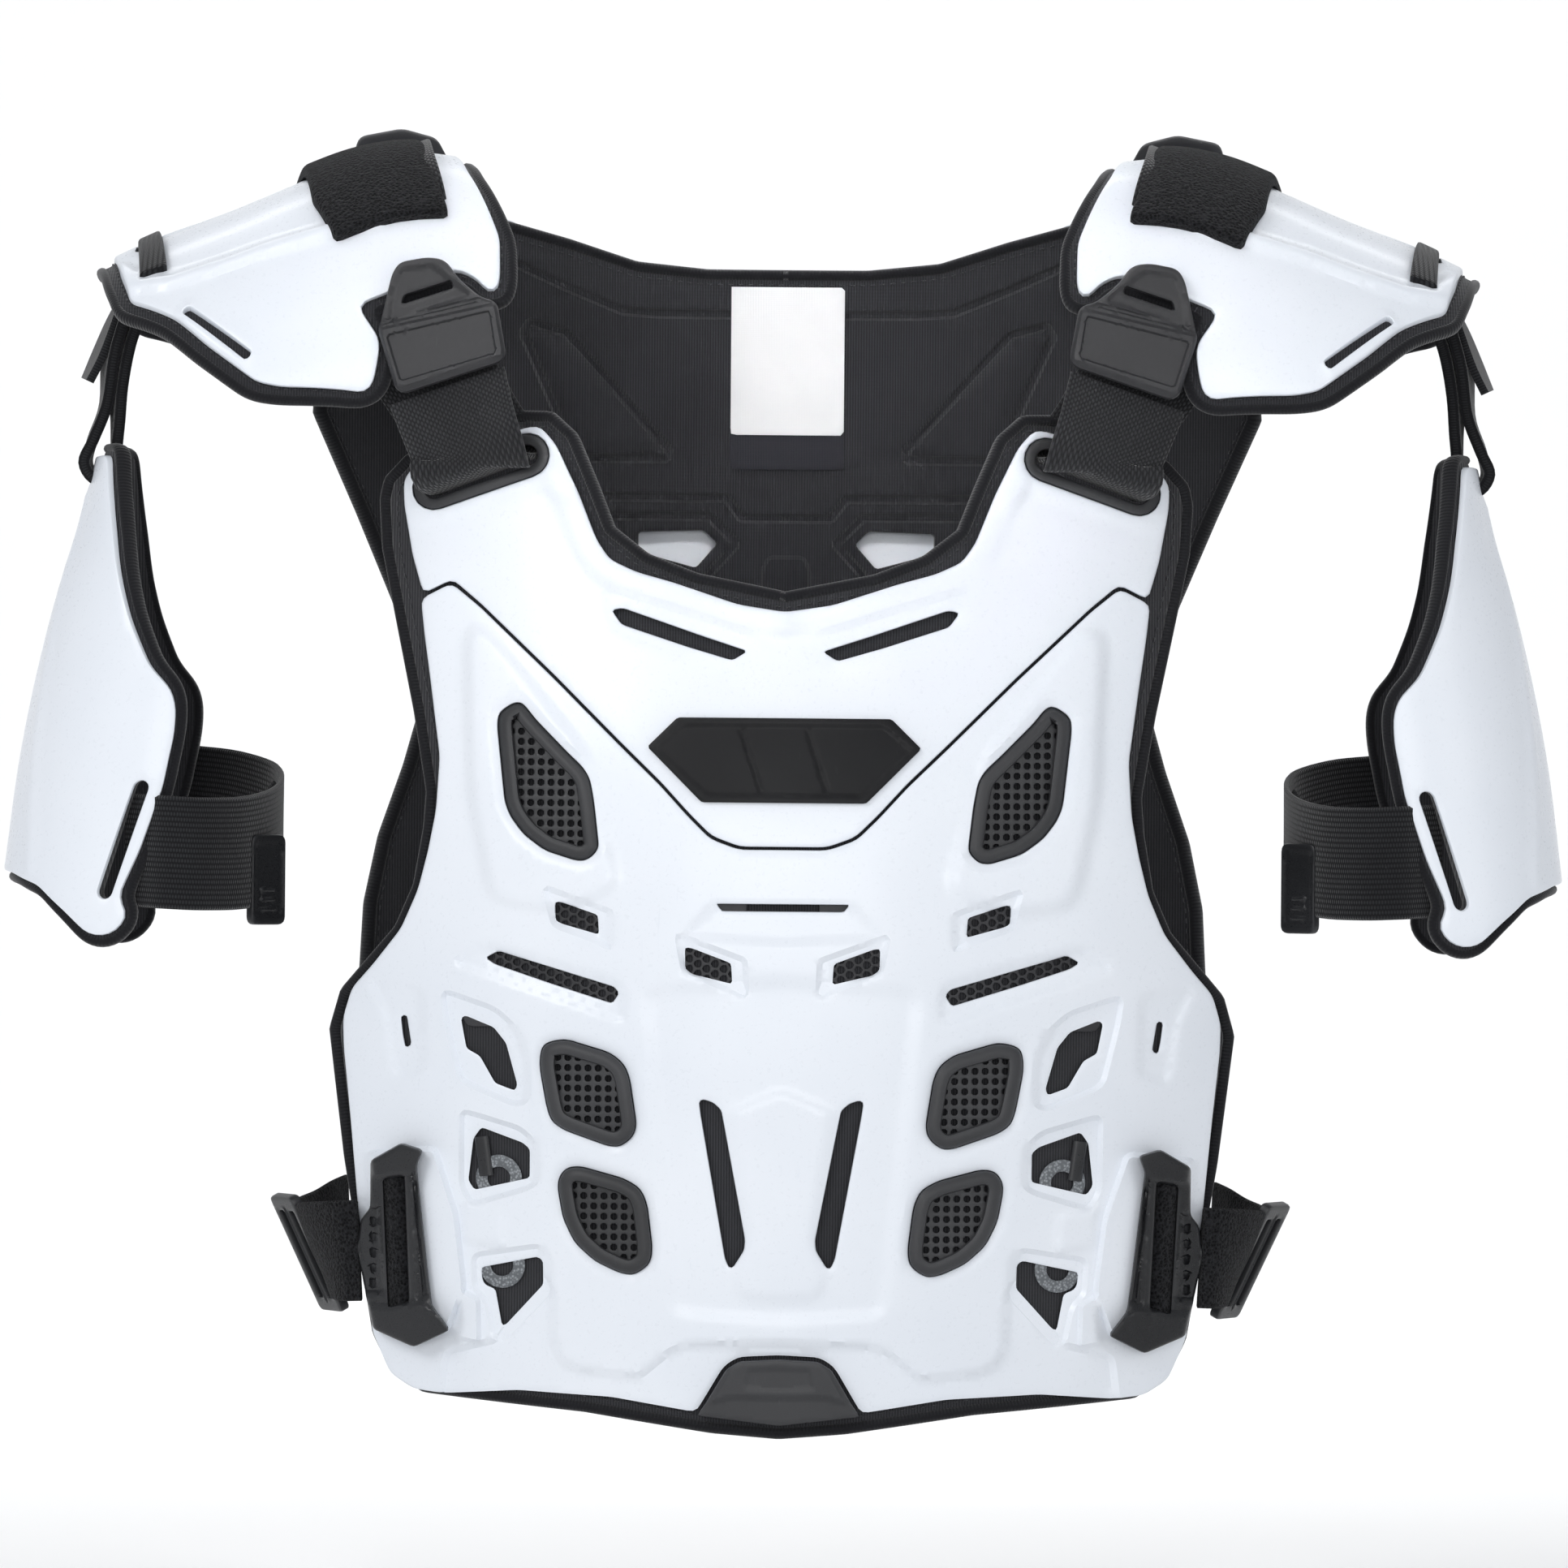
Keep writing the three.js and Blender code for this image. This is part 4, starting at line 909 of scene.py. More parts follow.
# Chest plate with its openings, sunk scoops and raised fields
plate_holes = []
for outline in (slot_upper, slot_inner, slot_long, slot_side, opening_upper, opening_middle,
                opening_lower, slot_vee):
    plate_holes += both_sides(soften(outline, 1.2))
plate_holes.append(soften(slot_middle, 0.6))
for outline in vent_outlines.values():
    plate_holes += both_sides(grown(soften(outline, 3), 0.3))

# All fields of the plate rise or sink by their height times this factor
RELIEF = 1.35
side_fields = [
    ([[71, 22.5], [67, 22], [60, 25.5], [44, 34], [40, 41.5], [36, 47], [50, 49.5], [64.5, 48.5],
      [69.5, 38.5]], 1.8, 6, 8),
    ([[52.6, 47.2], [37.7, 49.5], [38, 53], [40.8, 52.3], [50.5, 50.8]], -1.5, 2.2, 1.5),
    ([[23.2, 51.6], [8.2, 54], [7.9, 57.5], [11.2, 56.9], [21.7, 55.1]], -1.5, 2.2, 1.5),
    ([[73, 54.6], [66.5, 52.8], [52, 54.2], [36.4, 56.2], [34.7, 57.2], [35.2, 60]], -1.2, 2.8, 2),
    ([[92, 56.5], [80, 57.2], [79.5, 65], [86, 65.8], [88, 60]], -0.9, 3, 4),
    ([[75.5, 57.3], [63.5, 59], [58.8, 60.8], [56, 64], [56, 67.9], [59, 68.2], [71.2, 66],
      [74.6, 60]], -1.6, 2, 4),
    ([[70.9, 69], [68.3, 69.2], [57.7, 70.5], [54, 72], [53.8, 75.7], [56, 76.3], [68.5, 78],
      [70.8, 76.2]], -1.6, 2, 3),
    ([[68, 82.9], [53, 81.8], [50.9, 83], [50.9, 86.3], [61, 91], [63.2, 91], [65, 87.3],
      [67.6, 86.3]], -1.4, 2, 3),
    ([[77, 72.6], [92.5, 73.4], [90, 85], [87, 90], [74, 90.5], [70, 86], [72, 79]], 2.2, 2, 3),
    ([[70.5, 77.9], [61.8, 78.6], [61.2, 82.2], [70, 81.6]], 0.8, 2.6, 2),
    ([[70.8, 86.3], [66.8, 87.2], [66.6, 91.4], [71.4, 91]], 1.7, 1.8, 1.5),
]
plate_relief = fields(side_fields, factor=RELIEF)
for outline in vent_outlines.values():
    for side in both_sides(grown(outline, 2.6)):
        plate_relief.append(Field(side, -1.1, 1.6, 3))
middle_fields = [
    ([[0, 56], [30, 57], [26, 74], [23, 88], [0, 88.6]], -1.0, 7, 6),
    ([[0, 66.5], [11.2, 68.6], [6.6, 81], [9.2, 83.6], [9.9, 84.6], [8.2, 86.4], [0, 86.6]],
     0.9, 4, 3),
    ([[0, 48.9], [16, 48.9], [22, 51.8], [0, 52.2]], -0.9, 3.4, 3),
    ([[0, 90.8], [19.6, 91.1], [23.7, 91.6], [31, 94.3], [43.8, 93.8], [48, 93], [50, 91.2],
      [50.3, 85.6], [54, 84.6], [62, 91], [74, 92.4], [76, 99], [0, 99]], -1.6, 2.8, 3),
]
plate_relief += fields(middle_fields, whole, factor=RELIEF)
shell("chest_plate", white_shell, "shell", "chest_plate", panel_place,
      soften(whole_from(plate_half), 3), pair=False, holes=plate_holes, relief=plate_relief,
      step=2.2, rim=0.8)

# Yoke: a rounded rim along the neck, a raised pad under each ring
yoke_relief = []
for side in (1, -1):
    ridge = panel_outline([
        [0, 21.6], [10.8, 20.9], [25.3, 18.8], [34, 17.8], [40.3, 16.5], [44, 14.6], [48.6, 9.9],
        [52, 7]]) * [side, 1]
    yoke_relief.append(Groove(ridge, -1.3, 11))
yoke_relief += fields([
    ([[88, 4], [88, 12.2], [80.4, 12], [54.5, 8.6], [51, 9.6], [46, 10], [46, 0], [86, 0]],
     1.2, 5, 3),
    ([[40.5, 18.4], [36, 18.6], [8, 22.6], [4, 24], [10, 26.2], [22, 25], [38, 22.6]], -0.8, 3, 3),
])
shell("chest_yoke", white_shell, "shell", "chest_yoke", panel_place,
      soften(whole_from(yoke_half), 3), pair=False,
      holes=both_sides(soften(yoke_vent, 1.5)) + both_sides(tower_slot(GROMMET_RADIUS + 0.3)),
      front=-0.4, relief=yoke_relief, step=2.4)
shell("grommet", black_rubber, "grommet", "strap_grommet", panel_place,
      tower_slot(GROMMET_RADIUS), holes=[tower_slot(SLOT_RADIUS)], front=-1.8, step=1.4, rim=1.3,
      back_rim=0.4)

# Vents: a rubber frame with a rounded face, and a grille of square holes inside it
FRAME_WIDTH = 5.7
GRILLE_PITCH = 4.1
GRILLE_HOLE = 2.7


def rectangle(half_width, half_height, corner, middle=(0, 0), samples=4):
    corners = np.array([[-1, -1], [1, -1], [1, 1], [-1, 1]]) * [half_width, half_height]
    return soften(corners + middle, corner, samples)


def hexagon(centre, radius):
    angles = np.radians([0, 60, 120, 180, 240, 300])
    return centre + radius * np.stack([np.cos(angles), np.sin(angles)], 1)


def lattice(outline, pitch_x, pitch_z, start, offset, inside):
    """Points on a lattice with each second column moved by an offset, inside an outline."""
    low, high = outline.min(0), outline.max(0)
    centres = []
    for column in range(int((high[0] - low[0]) / pitch_x) + 2):
        for row in range(int((high[1] - low[1]) / pitch_z) + 2):
            centres.append([low[0] + start[0] + column * pitch_x,
                            low[1] + start[1] + (row + offset * (column % 2)) * pitch_z])
    centres = np.array(centres)
    return centres[signed_distance(centres, outline) > inside]


for name, outline in vent_outlines.items():
    edge = soften(outline, 3)
    inner = grown(edge, -FRAME_WIDTH)
    shell(f"vent_frame_{name}", black_rubber, "grille", f"vent_{name}", panel_place, edge,
          holes=[inner], front=-0.9, back=SHELL_WALL + 0.6,
          relief=[Field(grown(edge, -1.6), 0.9, 2.4, 1)], step=1.5, rim=1.5)
    centres = lattice(grown(inner, 0.9), GRILLE_PITCH, GRILLE_PITCH,
                      (0.5 * GRILLE_PITCH, 0.4 * GRILLE_PITCH), 0, 0)
    squares = [rectangle(GRILLE_HOLE / 2, GRILLE_HOLE / 2, 0.8, centre, 2) for centre in centres]
    shell(f"vent_grille_{name}", black_rubber, "grille", None, panel_place, grown(inner, 3.4),
          holes=squares, front=0.6, back=1.9, step=1.6, rim=0.3, fine=0.8)

# Net behind the slots, with six-sided cells
NET_CELL = 4.0
NET_COLUMN = NET_CELL * 0.866
cells = []
for outline in (slot_upper, slot_inner, slot_long):
    for centre in lattice(outline, NET_COLUMN, NET_CELL, (0, 0), 0.5, -0.6 * NET_CELL):
        cells.append(hexagon(centre, NET_CELL * 0.43))
net_outline = panel_outline([
    [8, 45.6], [38, 45.6], [52, 46.4], [68, 52], [72, 58.4], [70, 60.8], [44, 60.4], [18, 61.4],
    [8, 58],
])
shell("net", net_black, "mesh", "mesh_insert", panel_place, soften(net_outline, 3), holes=cells,
      front=SHELL_WALL + 0.2, back=SHELL_WALL + 0.9, step=3.5, rim=0.2, fine=0.6)

# Waist plate with a bevelled lower edge, and the plain ornament
waist = whole_from(panel_outline([
    [0, 92.4], [8.6, 92.6], [11.6, 93.4], [16.2, 96.8], [18, 97.9], [0, 98.8],
]))
waist_relief = fields([
    ([[0, 91], [8.3, 91], [9.6, 92.5], [15, 96.6], [9.5, 96], [0, 96.2]], 0.9, 1.2, 1),
    ([[0, 93.3], [6.9, 93.4], [7.4, 95.2], [0, 95.4]], -0.4, 0.8, 1),
], whole)
shell("waist_plate", black_rubber, "waist_rubber", "waist_plate", panel_place, soften(waist, 1.5),
      pair=False, front=-2.0, relief=waist_relief, step=1.5)

EMBLEM_HALF_WIDTH = 55
EMBLEM_HALF_HEIGHT = 17
emblem_corners = np.array([[-1, 0.3], [-0.78, 1], [0.78, 1], [1, 0.3], [0.6, -1], [-0.6, -1]])


def on_emblem(points):
    middle = [0, PANEL_TOP - PANEL_HEIGHT * 0.348]
    return middle + np.array(points) * [EMBLEM_HALF_WIDTH, EMBLEM_HALF_HEIGHT]


emblem_relief = [Field(on_emblem(emblem_corners * [0.93, 0.82]), -0.5, 0.8, 1)]
for x in (-0.24, 0.24):
    emblem_relief.append(Groove(on_emblem([[x - 0.07, 0.7], [x + 0.07, -0.7]]), 0.5, 2.0))
shell("emblem", emblem_black, "emblem", "chest_emblem", panel_place,
      soften(on_emblem(emblem_corners), 1), pair=False, front=-2.3, back=-0.3,
      relief=emblem_relief, step=1.3, rim=0.5)


# Padded liners with a bound and stitched edge

def surface_sweep(name, place, outline, offset, section, closed=True, step=2.0):
    """Sweeps a section along a line on a surface, its across direction lying in the surface."""
    line = resampled(outline, step, closed)
    normals = outward(line) if closed else right_of(unit(np.gradient(line, axis=0)))
    offsets = np.full(len(line), float(offset))
    middle = place(line, offsets)
    wide = place(line + normals * 0.5, offsets) - middle
    return swept(name, middle, wide, section, closed=closed)


def stitches(name, place, outline, offset, length=2.6, gap=1.7, width=0.7):
    """A row of short raised stitches on a surface, as one piece."""
    starts = resampled(outline, length + gap)
    along = unit(np.roll(starts, -1, 0) - starts)
    side = right_of(along)
    corners, levels = [], []
    shape = [(0, 0, 0.1), (0.25, 1, 0.0), (0.75, 1, 0.0), (1, 0, 0.1), (0.75, -1, 0.0),
             (0.25, -1, 0.0), (0.3, 0, -0.45), (0.7, 0, -0.45)]
    for t, s, level in shape:
        corners.append(starts + along * length * t + side * s * width / 2)
        levels.append(level)
    faces = [(0, 1, 6), (1, 2, 7, 6), (2, 3, 7), (3, 4, 7), (4, 5, 6, 7), (5, 0, 6),
             (0, 5, 4, 3, 2, 1)]
    flat = np.stack(corners, 1).reshape(-1, 2)
    depth = offset + np.tile(levels, len(starts))
    count = len(shape)
    every = [tuple(i * count + k for k in face) for i in range(len(starts)) for face in faces]
    places = place(flat, depth)
    return new_piece(name, places, every, uvs=flat * MM)


def bound_edge(stem, place, outline, middle, width, thickness, node, pair, stitch_offset):
    """Binding round an outline, with its row of stitches on the face beside it."""
    suffix = "_right" if pair else ""
    put = dress_pair if pair else dress
    tape = surface_sweep(f"visual_{stem}_binding{suffix}", place, grown(outline, -width / 2),
                         middle, oval(width, thickness, 14, 2.3), step=2.2)
    put(tape, binding_tape, "binding", node)
    row = stitches(f"visual_{stem}_stitches{suffix}", place, grown(outline, -width - 1.6),
                   stitch_offset)
    put(row, stitch_thread, "binding")


# Both large liners end inside their binding, and swell from a line beside it
LINER_INSET = BINDING_WIDTH * 0.7
SWELL_INSET = BINDING_WIDTH + 3.4
shell("chest_liner", liner_cloth, "liner", "chest_liner", panel_place,
      grown(panel_outer, -LINER_INSET), pair=False, pad=PAD_FILL,
      holes=both_sides(tower_slot(SLOT_RADIUS + 1)), front=LINER_FRONT + 0.9, back=LINER_BACK,
      relief=[Field(grown(panel_outer, -SWELL_INSET), 0.7, 2.4, 1)], step=4.0, rim=1.0,
      back_rim=1.5, fine=0.7)
bound_edge("chest", panel_place, panel_outer, (LINER_FRONT + LINER_BACK) / 2, BINDING_WIDTH,
           BINDING_THICKNESS, "chest_binding", False, LINER_FRONT + 0.7)


# Back panel

back_outer = whole_from(back_outline([
    [0, 4.3], [17, 4.3], [32, 3.7], [46.3, 1.8], [58.9, 0.4], [66.3, -0.2],
    [73, 0.4], [80, 3.8], [85, 7.2], [92, 10.8], [98, 14.6], [98.9, 18], [90, 26.8], [82.4, 34.7],
    [76.6, 42.5], [76.8, 44.2], [80, 49.2], [85, 55.5], [87.8, 61.5], [88.5, 67.6], [88, 86],
    [84, 91.5], [75, 95.5], [50, 99], [0, 100],
]))
back_relief = [Field(grown(back_outer, -SWELL_INSET), 0.8, 2.4, 1)]
back_grooves = [
    [[66, 3.2], [62.6, 3.6], [57.7, 4.1], [47.2, 6.1], [38.4, 7.6], [34.9, 8.2], [27, 8.4],
     [0, 8.4]],
    [[54.4, 9.4], [47.2, 10.2], [45.1, 11.1], [25.1, 20.6], [25.5, 21.4], [43.2, 21.5],
     [47, 19], [55.8, 10.4], [54.4, 9.4]],
    [[48, 24.9], [12.7, 24.9], [9.5, 26.7], [0, 26.7]],
    [[46, 26.6], [16.2, 26.6], [10.5, 29], [16.2, 31.7], [20, 35]],
    [[72, 33], [60, 38], [58, 50], [64, 62], [66, 88]],
    [[0, 46], [12, 48], [16, 54], [16, 90]],
    [[34, 46], [44, 50], [46, 60], [42, 66], [32, 68], [28, 60], [28, 50], [34, 46]],
    [[34, 72], [44, 74], [46, 84], [42, 90], [32, 90], [28, 84], [28, 75], [34, 72]],
]
for rows in back_grooves:
    for outline in both_sides(back_outline(rows)):
        back_relief.append(Groove(outline, 1.8, 3.6))
back_relief += fields([([[53.6, 10.3], [46.3, 11.7], [27, 20.6], [42.7, 20.8]], 1.2, 5, 3)],
                      outline_of=back_outline)
back_relief += fields([([[0, 30.2], [3.8, 30.2], [5, 31.4], [5, 36], [0, 36]], 1.6, 1.6, 2)],
                      whole, back_outline)
back_windows = both_sides(back_outline([
    [31.3, 28], [17.4, 27.8], [14.6, 29], [19.1, 31.2], [31.3, 29.8],
]))
back_liner = shell(
    "back_liner", liner_cloth, "liner", "back_liner", back_place, grown(back_outer, -LINER_INSET),
    pair=False, pad=PAD_FILL, holes=[soften(hole, 1.5) for hole in back_windows], front=0.8,
    back=BACK_LINER_THICKNESS, relief=back_relief, step=4.0, rim=1.0, back_rim=1.5, fine=0.7)
bound_edge("back", back_place, back_outer, BACK_LINER_THICKNESS / 2, BINDING_WIDTH,
           BINDING_THICKNESS, "back_binding", False, 0.55)

BACK_SHELL_FRONT = (BACK_LINER_THICKNESS + BINDING_THICKNESS) / 2 + 0.4
BACK_SHELL_BACK = BACK_SHELL_FRONT + SHELL_WALL


def back_outside(points, offset):
    """The back panel seen from behind: offsets count inwards from the outer side."""
    return back_place(points, -np.asarray(offset))


SPINE_RIBS, SPINE_TOP, SPINE_PITCH = 7, 17, 10.5
back_shell_relief = fields([([[0, 10], [9, 10], [13, 30], [10, 92], [0, 93]], 4.2, 4, 4)],
                           whole, back_outline)
for k in range(SPINE_RIBS):
    low = SPINE_TOP + SPINE_PITCH * k
    back_shell_relief += fields([([[0, low], [7, low + 1], [7, low + 3.4], [0, low + 2.4]],
                                  -1.8, 1.8, 1)], whole, back_outline)
for rows in ([[20, 11], [52, 8], [76, 14], [58, 26], [22, 32]],
             [[19, 37], [56, 32], [64, 40], [68, 50], [18, 56]],
             [[18, 61], [72, 56], [77, 68], [75, 84], [18, 90]]):
    for outline in both_sides(back_outline(rows)):
        back_shell_relief.append(Field(outline, 3.4, 4, 8))
        back_shell_relief.append(Field(grown(outline, -15), -1.6, 2.4, 4))
shell("back_shell", white_shell, "shell", "back_shell", back_outside,
      soften(grown(back_outer, -9), 4), pair=False, front=-BACK_SHELL_BACK,
      back=-BACK_SHELL_FRONT, relief=back_shell_relief, step=3.5)
shell("back_tower", white_shell, "shell", None, back_outside,
      soften(back_outline([[57, 0.5], [66.5, -0.6], [70, 8], [55, 8]]), 3),
      front=-BACK_SHELL_BACK, back=-BACK_SHELL_FRONT, step=2.5)

# Care label: a blank white ribbon over a dark one, hanging from its sewn top edge
LABEL_HALF = 12
LABEL_THICKNESS = 0.5


def label_piece(stem, top, hem, lift, material, slot, wave):
    outline = resampled(back_outline([[-LABEL_HALF, top], [LABEL_HALF, top], [LABEL_HALF, hem],
                                      [-LABEL_HALF, hem]]), 1.5)
    height = (hem - top) / 100 * BACK_HEIGHT
    start = BACK_TOP - top / 100 * BACK_HEIGHT

    def swell(points):
        down = np.clip((start - points[:, 1]) / height, 0, 1)
        return down * (lift + wave * np.sin(points[:, 0] * 0.16 + down * 2.5))

    piece = shell(stem, material, slot, stem, back_place, outline, pair=False,
                  front=-0.3 - LABEL_THICKNESS, back=-0.3, step=2.6, rim=0.15, swell=swell)


label_piece("care_label", 5.9, 19.2, 0.8, label_white, "label_cloth", 0.35)
label_piece("care_label_flap", 18.6, 22.3, 0.3, label_dark, "label_flap", 0.2)

# Straps. Columns: x, y, z, then what the direction of the width gains in y and in x
shoulder_rows = [
    [138, -78.6, -90, 0.18], [133.5, -80.4, -104, 0.35], [129, -81.5, -117, 0.45],
    [127.5, -76.5, -124.3, 0.45], [121, -62.5, -124.3, 0.45], [123.5, -57, -116, 0.45],
    [133, -57.5, -101, 0.4], [147, -60, -78, 0.15], [155, -58, -58, 0], [159, -53, -42, 0],
    [162, -50.5, -30, 0], [165, -47, -14, 0], [169, -33, -1.5, 0], [172, 0, 6, 0],
    [171, 33, -1.5, 0], [167, 46, -14, 0], [162, 47.5, -28, 0],
    [155, 48.5, -48, -0.15], [148.5, 55, -66, -0.4],
    [146.5, 68, -77, -0.45], [152.5, 82, -77, -0.45], [153.5, 86.5, -68, -0.45],
    [155, 87, -54, -0.45], [158, 88, -36, -0.3], [161, 87, -20, -0.2], [164, 82, -4, -0.18],
]
lean = np.array([math.cos(STRAP_LEAN), 0, -math.sin(STRAP_LEAN)])


def strap_piece(stem, material, slot, node, rows, width, thickness, across, lift=0.0,
                closed=False):
    """A band swept along smooth rows and dressed on both sides."""
    line = smooth_line(rows, 5, closed)
    wide = np.repeat(np.array([across], float), len(line), 0)
    if line.shape[1] > 3:
        wide[:, 1] += line[:, 3]
    if line.shape[1] > 4:
        wide[:, 0] += line[:, 4]
    section = np.array(band_section(width, thickness)) + [0, lift]
    piece = swept(f"visual_{stem}_right", line[:, :3], wide, section, closed=closed)
    dress_pair(piece, material, slot, node)


strap_piece("shoulder_strap", webbing, "webbing", "shoulder_strap", shoulder_rows, WEBBING_WIDTH,
            WEBBING_THICKNESS, lean)


# Shoulder cups. Columns: out in percent of the reach, height in percent of the drop

def cup_run(rows, side):
    """Turns front-view points into points on the cup, to its front (-1) or rear (1)."""
    rows = np.asarray(rows, float)
    x = rows[:, 0] / 100 * CUP_REACH
    cosine = 1 - (ridge_at(x) / CUP_DROP - rows[:, 1] / 100)
    return np.stack([x, side * np.arccos(np.clip(cosine, -1, 1)) * CUP_DROP], 1)


cup_front = [
    [47, 0], [42, -30], [41.8, -47], [42.2, -52.5], [43.6, -53.5], [45.4, -47.5], [48.2, -44],
    [58.2, -55], [61.8, -59], [61.8, -63], [59, -75], [59.3, -84], [60, -94.5], [61.4, -98],
    [66, -96.5], [73.5, -95.5], [76.8, -93.5], [80, -86.5], [84.3, -77], [89, -65.5],
    [95.7, -58], [97.5, -46],
]
cup_rear = [
    [97.5, -46], [95.7, -58], [88, -64.5], [77, -52], [70, -33], [62, -25], [50, -25],
    [43, -25], [47, 0],
]
cup_edge = np.vstack([
    cup_run(cup_front, -1),
    [[0.99 * CUP_REACH, -14], [0.995 * CUP_REACH, 0], [0.99 * CUP_REACH, 14]],
    cup_run(cup_rear, 1), [[49.5 / 100 * CUP_REACH, 0]],
])
slit_ends = cup_run([[87.2, -63], [78.3, -82]], -1)
cup_rib = cup_run([[98.3, -44], [95.4, -52.6], [90.2, -50.5], [76.9, -37], [67.9, -29],
                   [60, -24]], -1)
cup_relief = [
    Groove(cup_rib, -2.6, 9),
    Field(np.vstack([
        cup_run([[96, -42], [90, -45], [77, -31.5], [68, -23.5], [63, -18]], -1),
        [[182, -8], [205, 6], [240, 4], [266, -6]],
    ]), -1.6, 7, 4),
    Field(stadium(slit_ends[0], slit_ends[1], 4.6), 0.9, 2.4, 1),
]
shell("shoulder_cup", white_shell, "shell", "shoulder_cup", cup_place, soften(cup_edge, 4),
      holes=[stadium(slit_ends[0], slit_ends[1], 1.7),
             soften([[259, -24], [268.5, -24], [268.5, 24], [259, 24]], 3)],
      back=CUP_WALL, relief=cup_relief, step=2.6)
link_over = np.vstack([cup_run([[94.6, -48.5], [90.6, -44.5]], -1),
                       [[260, -3], [259.5, 22], [268, 22], [268.5, -3]]])
shell("link_band", elastic, "webbing", None, cup_place, link_over, front=-2.6, back=1.2, rim=1.0)

PAD_GAP = 0.4
CUP_PAD_THICKNESS = 5
CUP_PAD_FRONT = CUP_WALL + PAD_GAP
CUP_PAD_BACK = CUP_PAD_FRONT + CUP_PAD_THICKNESS
CUP_BINDING_WIDTH, CUP_BINDING_THICKNESS = 4.6, 6.4
pad_edge = grown(soften(cup_edge, 6), 7)
pad_edge = pad_edge[signed_distance(pad_edge, resampled(pad_edge, 4)) > -9]
shell("shoulder_pad", liner_cloth, "liner", "shoulder_pad", cup_place, grown(pad_edge, -2.5),
      pad=PAD_FILL, front=CUP_PAD_FRONT + 0.4, back=CUP_PAD_BACK,
      relief=[Field(grown(pad_edge, -7), 0.8, 3, 1)], step=4, rim=1.0, back_rim=1.6, fine=0.7)
bound_edge("shoulder_pad", cup_place, pad_edge, (CUP_PAD_FRONT + CUP_PAD_BACK) / 2,
           CUP_BINDING_WIDTH, CUP_BINDING_THICKNESS, None, True, CUP_PAD_FRONT - 0.1)

# Loop pile on the end of the strap that lies over the cup
pile_edge = np.vstack([
    cup_run([[65.8, -33.7], [69.5, -16]], -1), [[201, 0], [206, 34], [158, 34], [153.6, 0]],
    cup_run([[51.5, -7], [49.4, -22.3]], -1),
])
shell("pile_patch", pile, "webbing", None, cup_place, soften(pile_edge, 3), front=-5.2, back=-0.3,
      step=2.6, rim=1.5)


# Arm guards. Columns: in from the reach in percent of the breadth, down in percent of the height

GUARD_BREADTH = 74


def guard_run(rows):
    rows = np.asarray(rows, float)
    x = GUARD_REACH - rows[:, 0] / 100 * GUARD_BREADTH
    z = GUARD_TOP - rows[:, 1] / 100 * GUARD_HEIGHT
    cosine = (x - guard_line(z) + GUARD_BULGE) / GUARD_BULGE
    return np.stack([-np.arccos(np.clip(cosine, -1, 1)) * GUARD_BULGE, z], 1)


guard_front = guard_run([
    [53, 0.2], [56.8, 0.3], [60.3, 13], [65.1, 24.4], [72.4, 34.3], [84.2, 44], [96.3, 48.7],
    [99.3, 52.5], [98.5, 58], [92.4, 69], [79.8, 82], [68.1, 91.4], [73.3, 95.5], [66.4, 98.7],
    [58.1, 99.7], [49.9, 99], [37.7, 94.8], [21.7, 89.4], [6, 87],
])
guard_edge = np.vstack([guard_front, [[0, GUARD_TOP - 0.862 * GUARD_HEIGHT]],
                        (guard_front * [-1, 1])[::-1], [[0, GUARD_TOP - 0.4]]])
strap_slots = [stadium([side * 91, -254], [side * 81.5, -296], 3.2) for side in (-1, 1)]
crease = [[-9, -135], [-13, -149], [-24, -200], [-36, -262], [-41, -286]]
guard_relief = [Groove(np.array(crease) * [side, 1], -0.9, 10) for side in (1, -1)]
shell("arm_guard", white_shell, "shell", "arm_guard", guard_place, soften(guard_edge, 4),
      holes=strap_slots, back=GUARD_WALL, relief=guard_relief, step=3.0)

ARM_PAD_THICKNESS = 6
ARM_PAD_FRONT = GUARD_WALL + PAD_GAP
ARM_PAD_BACK = ARM_PAD_FRONT + ARM_PAD_THICKNESS
ARM_BINDING_WIDTH, ARM_BINDING_THICKNESS = 4.2, 7.2
arm_pad_edge = grown(soften(guard_edge, 6), 5)
shell("arm_pad", liner_cloth, "liner", "arm_pad", guard_place, grown(arm_pad_edge, -2.2),
      pad=PAD_FILL, holes=strap_slots, front=ARM_PAD_FRONT + 0.5, back=ARM_PAD_BACK,
      relief=[Field(grown(arm_pad_edge, -6.5), 0.8, 3, 1)], step=4, rim=1.0, back_rim=1.8,
      fine=0.7)
bound_edge("arm_pad", guard_place, arm_pad_edge, (ARM_PAD_FRONT + ARM_PAD_BACK) / 2,
           ARM_BINDING_WIDTH, ARM_BINDING_THICKNESS, None, True, ARM_PAD_FRONT)

# Link loop between the cup and the arm guard, elastic round the arm, strap at the side
LINK_WIDTH, LINK_THICKNESS = 26, 4.6
ARM_STRAP_WIDTH = 46
SIDE_STRAP_WIDTH = 41
ELASTIC_THICKNESS = WEBBING_THICKNESS + 0.4
link_rows = [
    [265, -2, -36, 0, 0.1], [270, -2, -43, 0, 0.14], [274.5, -2, -58, 0, 0.2],
    [279.5, -2, -76, 0, 0.2], [281.5, 0, -96, 0, 0.12], [286.5, 0, -110, 0, 0.1],
    [289.5, 0, -120, 0, 0], [284.5, 0, -127, 0, 0], [278, 0, -121, 0, 0.05],
    [276.5, 0, -106, 0, 0.12], [276, 0, -88, 0, 0.2], [272.5, 0, -70, 0, 0.2],
    [265.5, -2, -55, 0, 0.14], [260.5, -2, -46, 0, 0.1], [260.5, -2, -38, 0, 0.05],
]
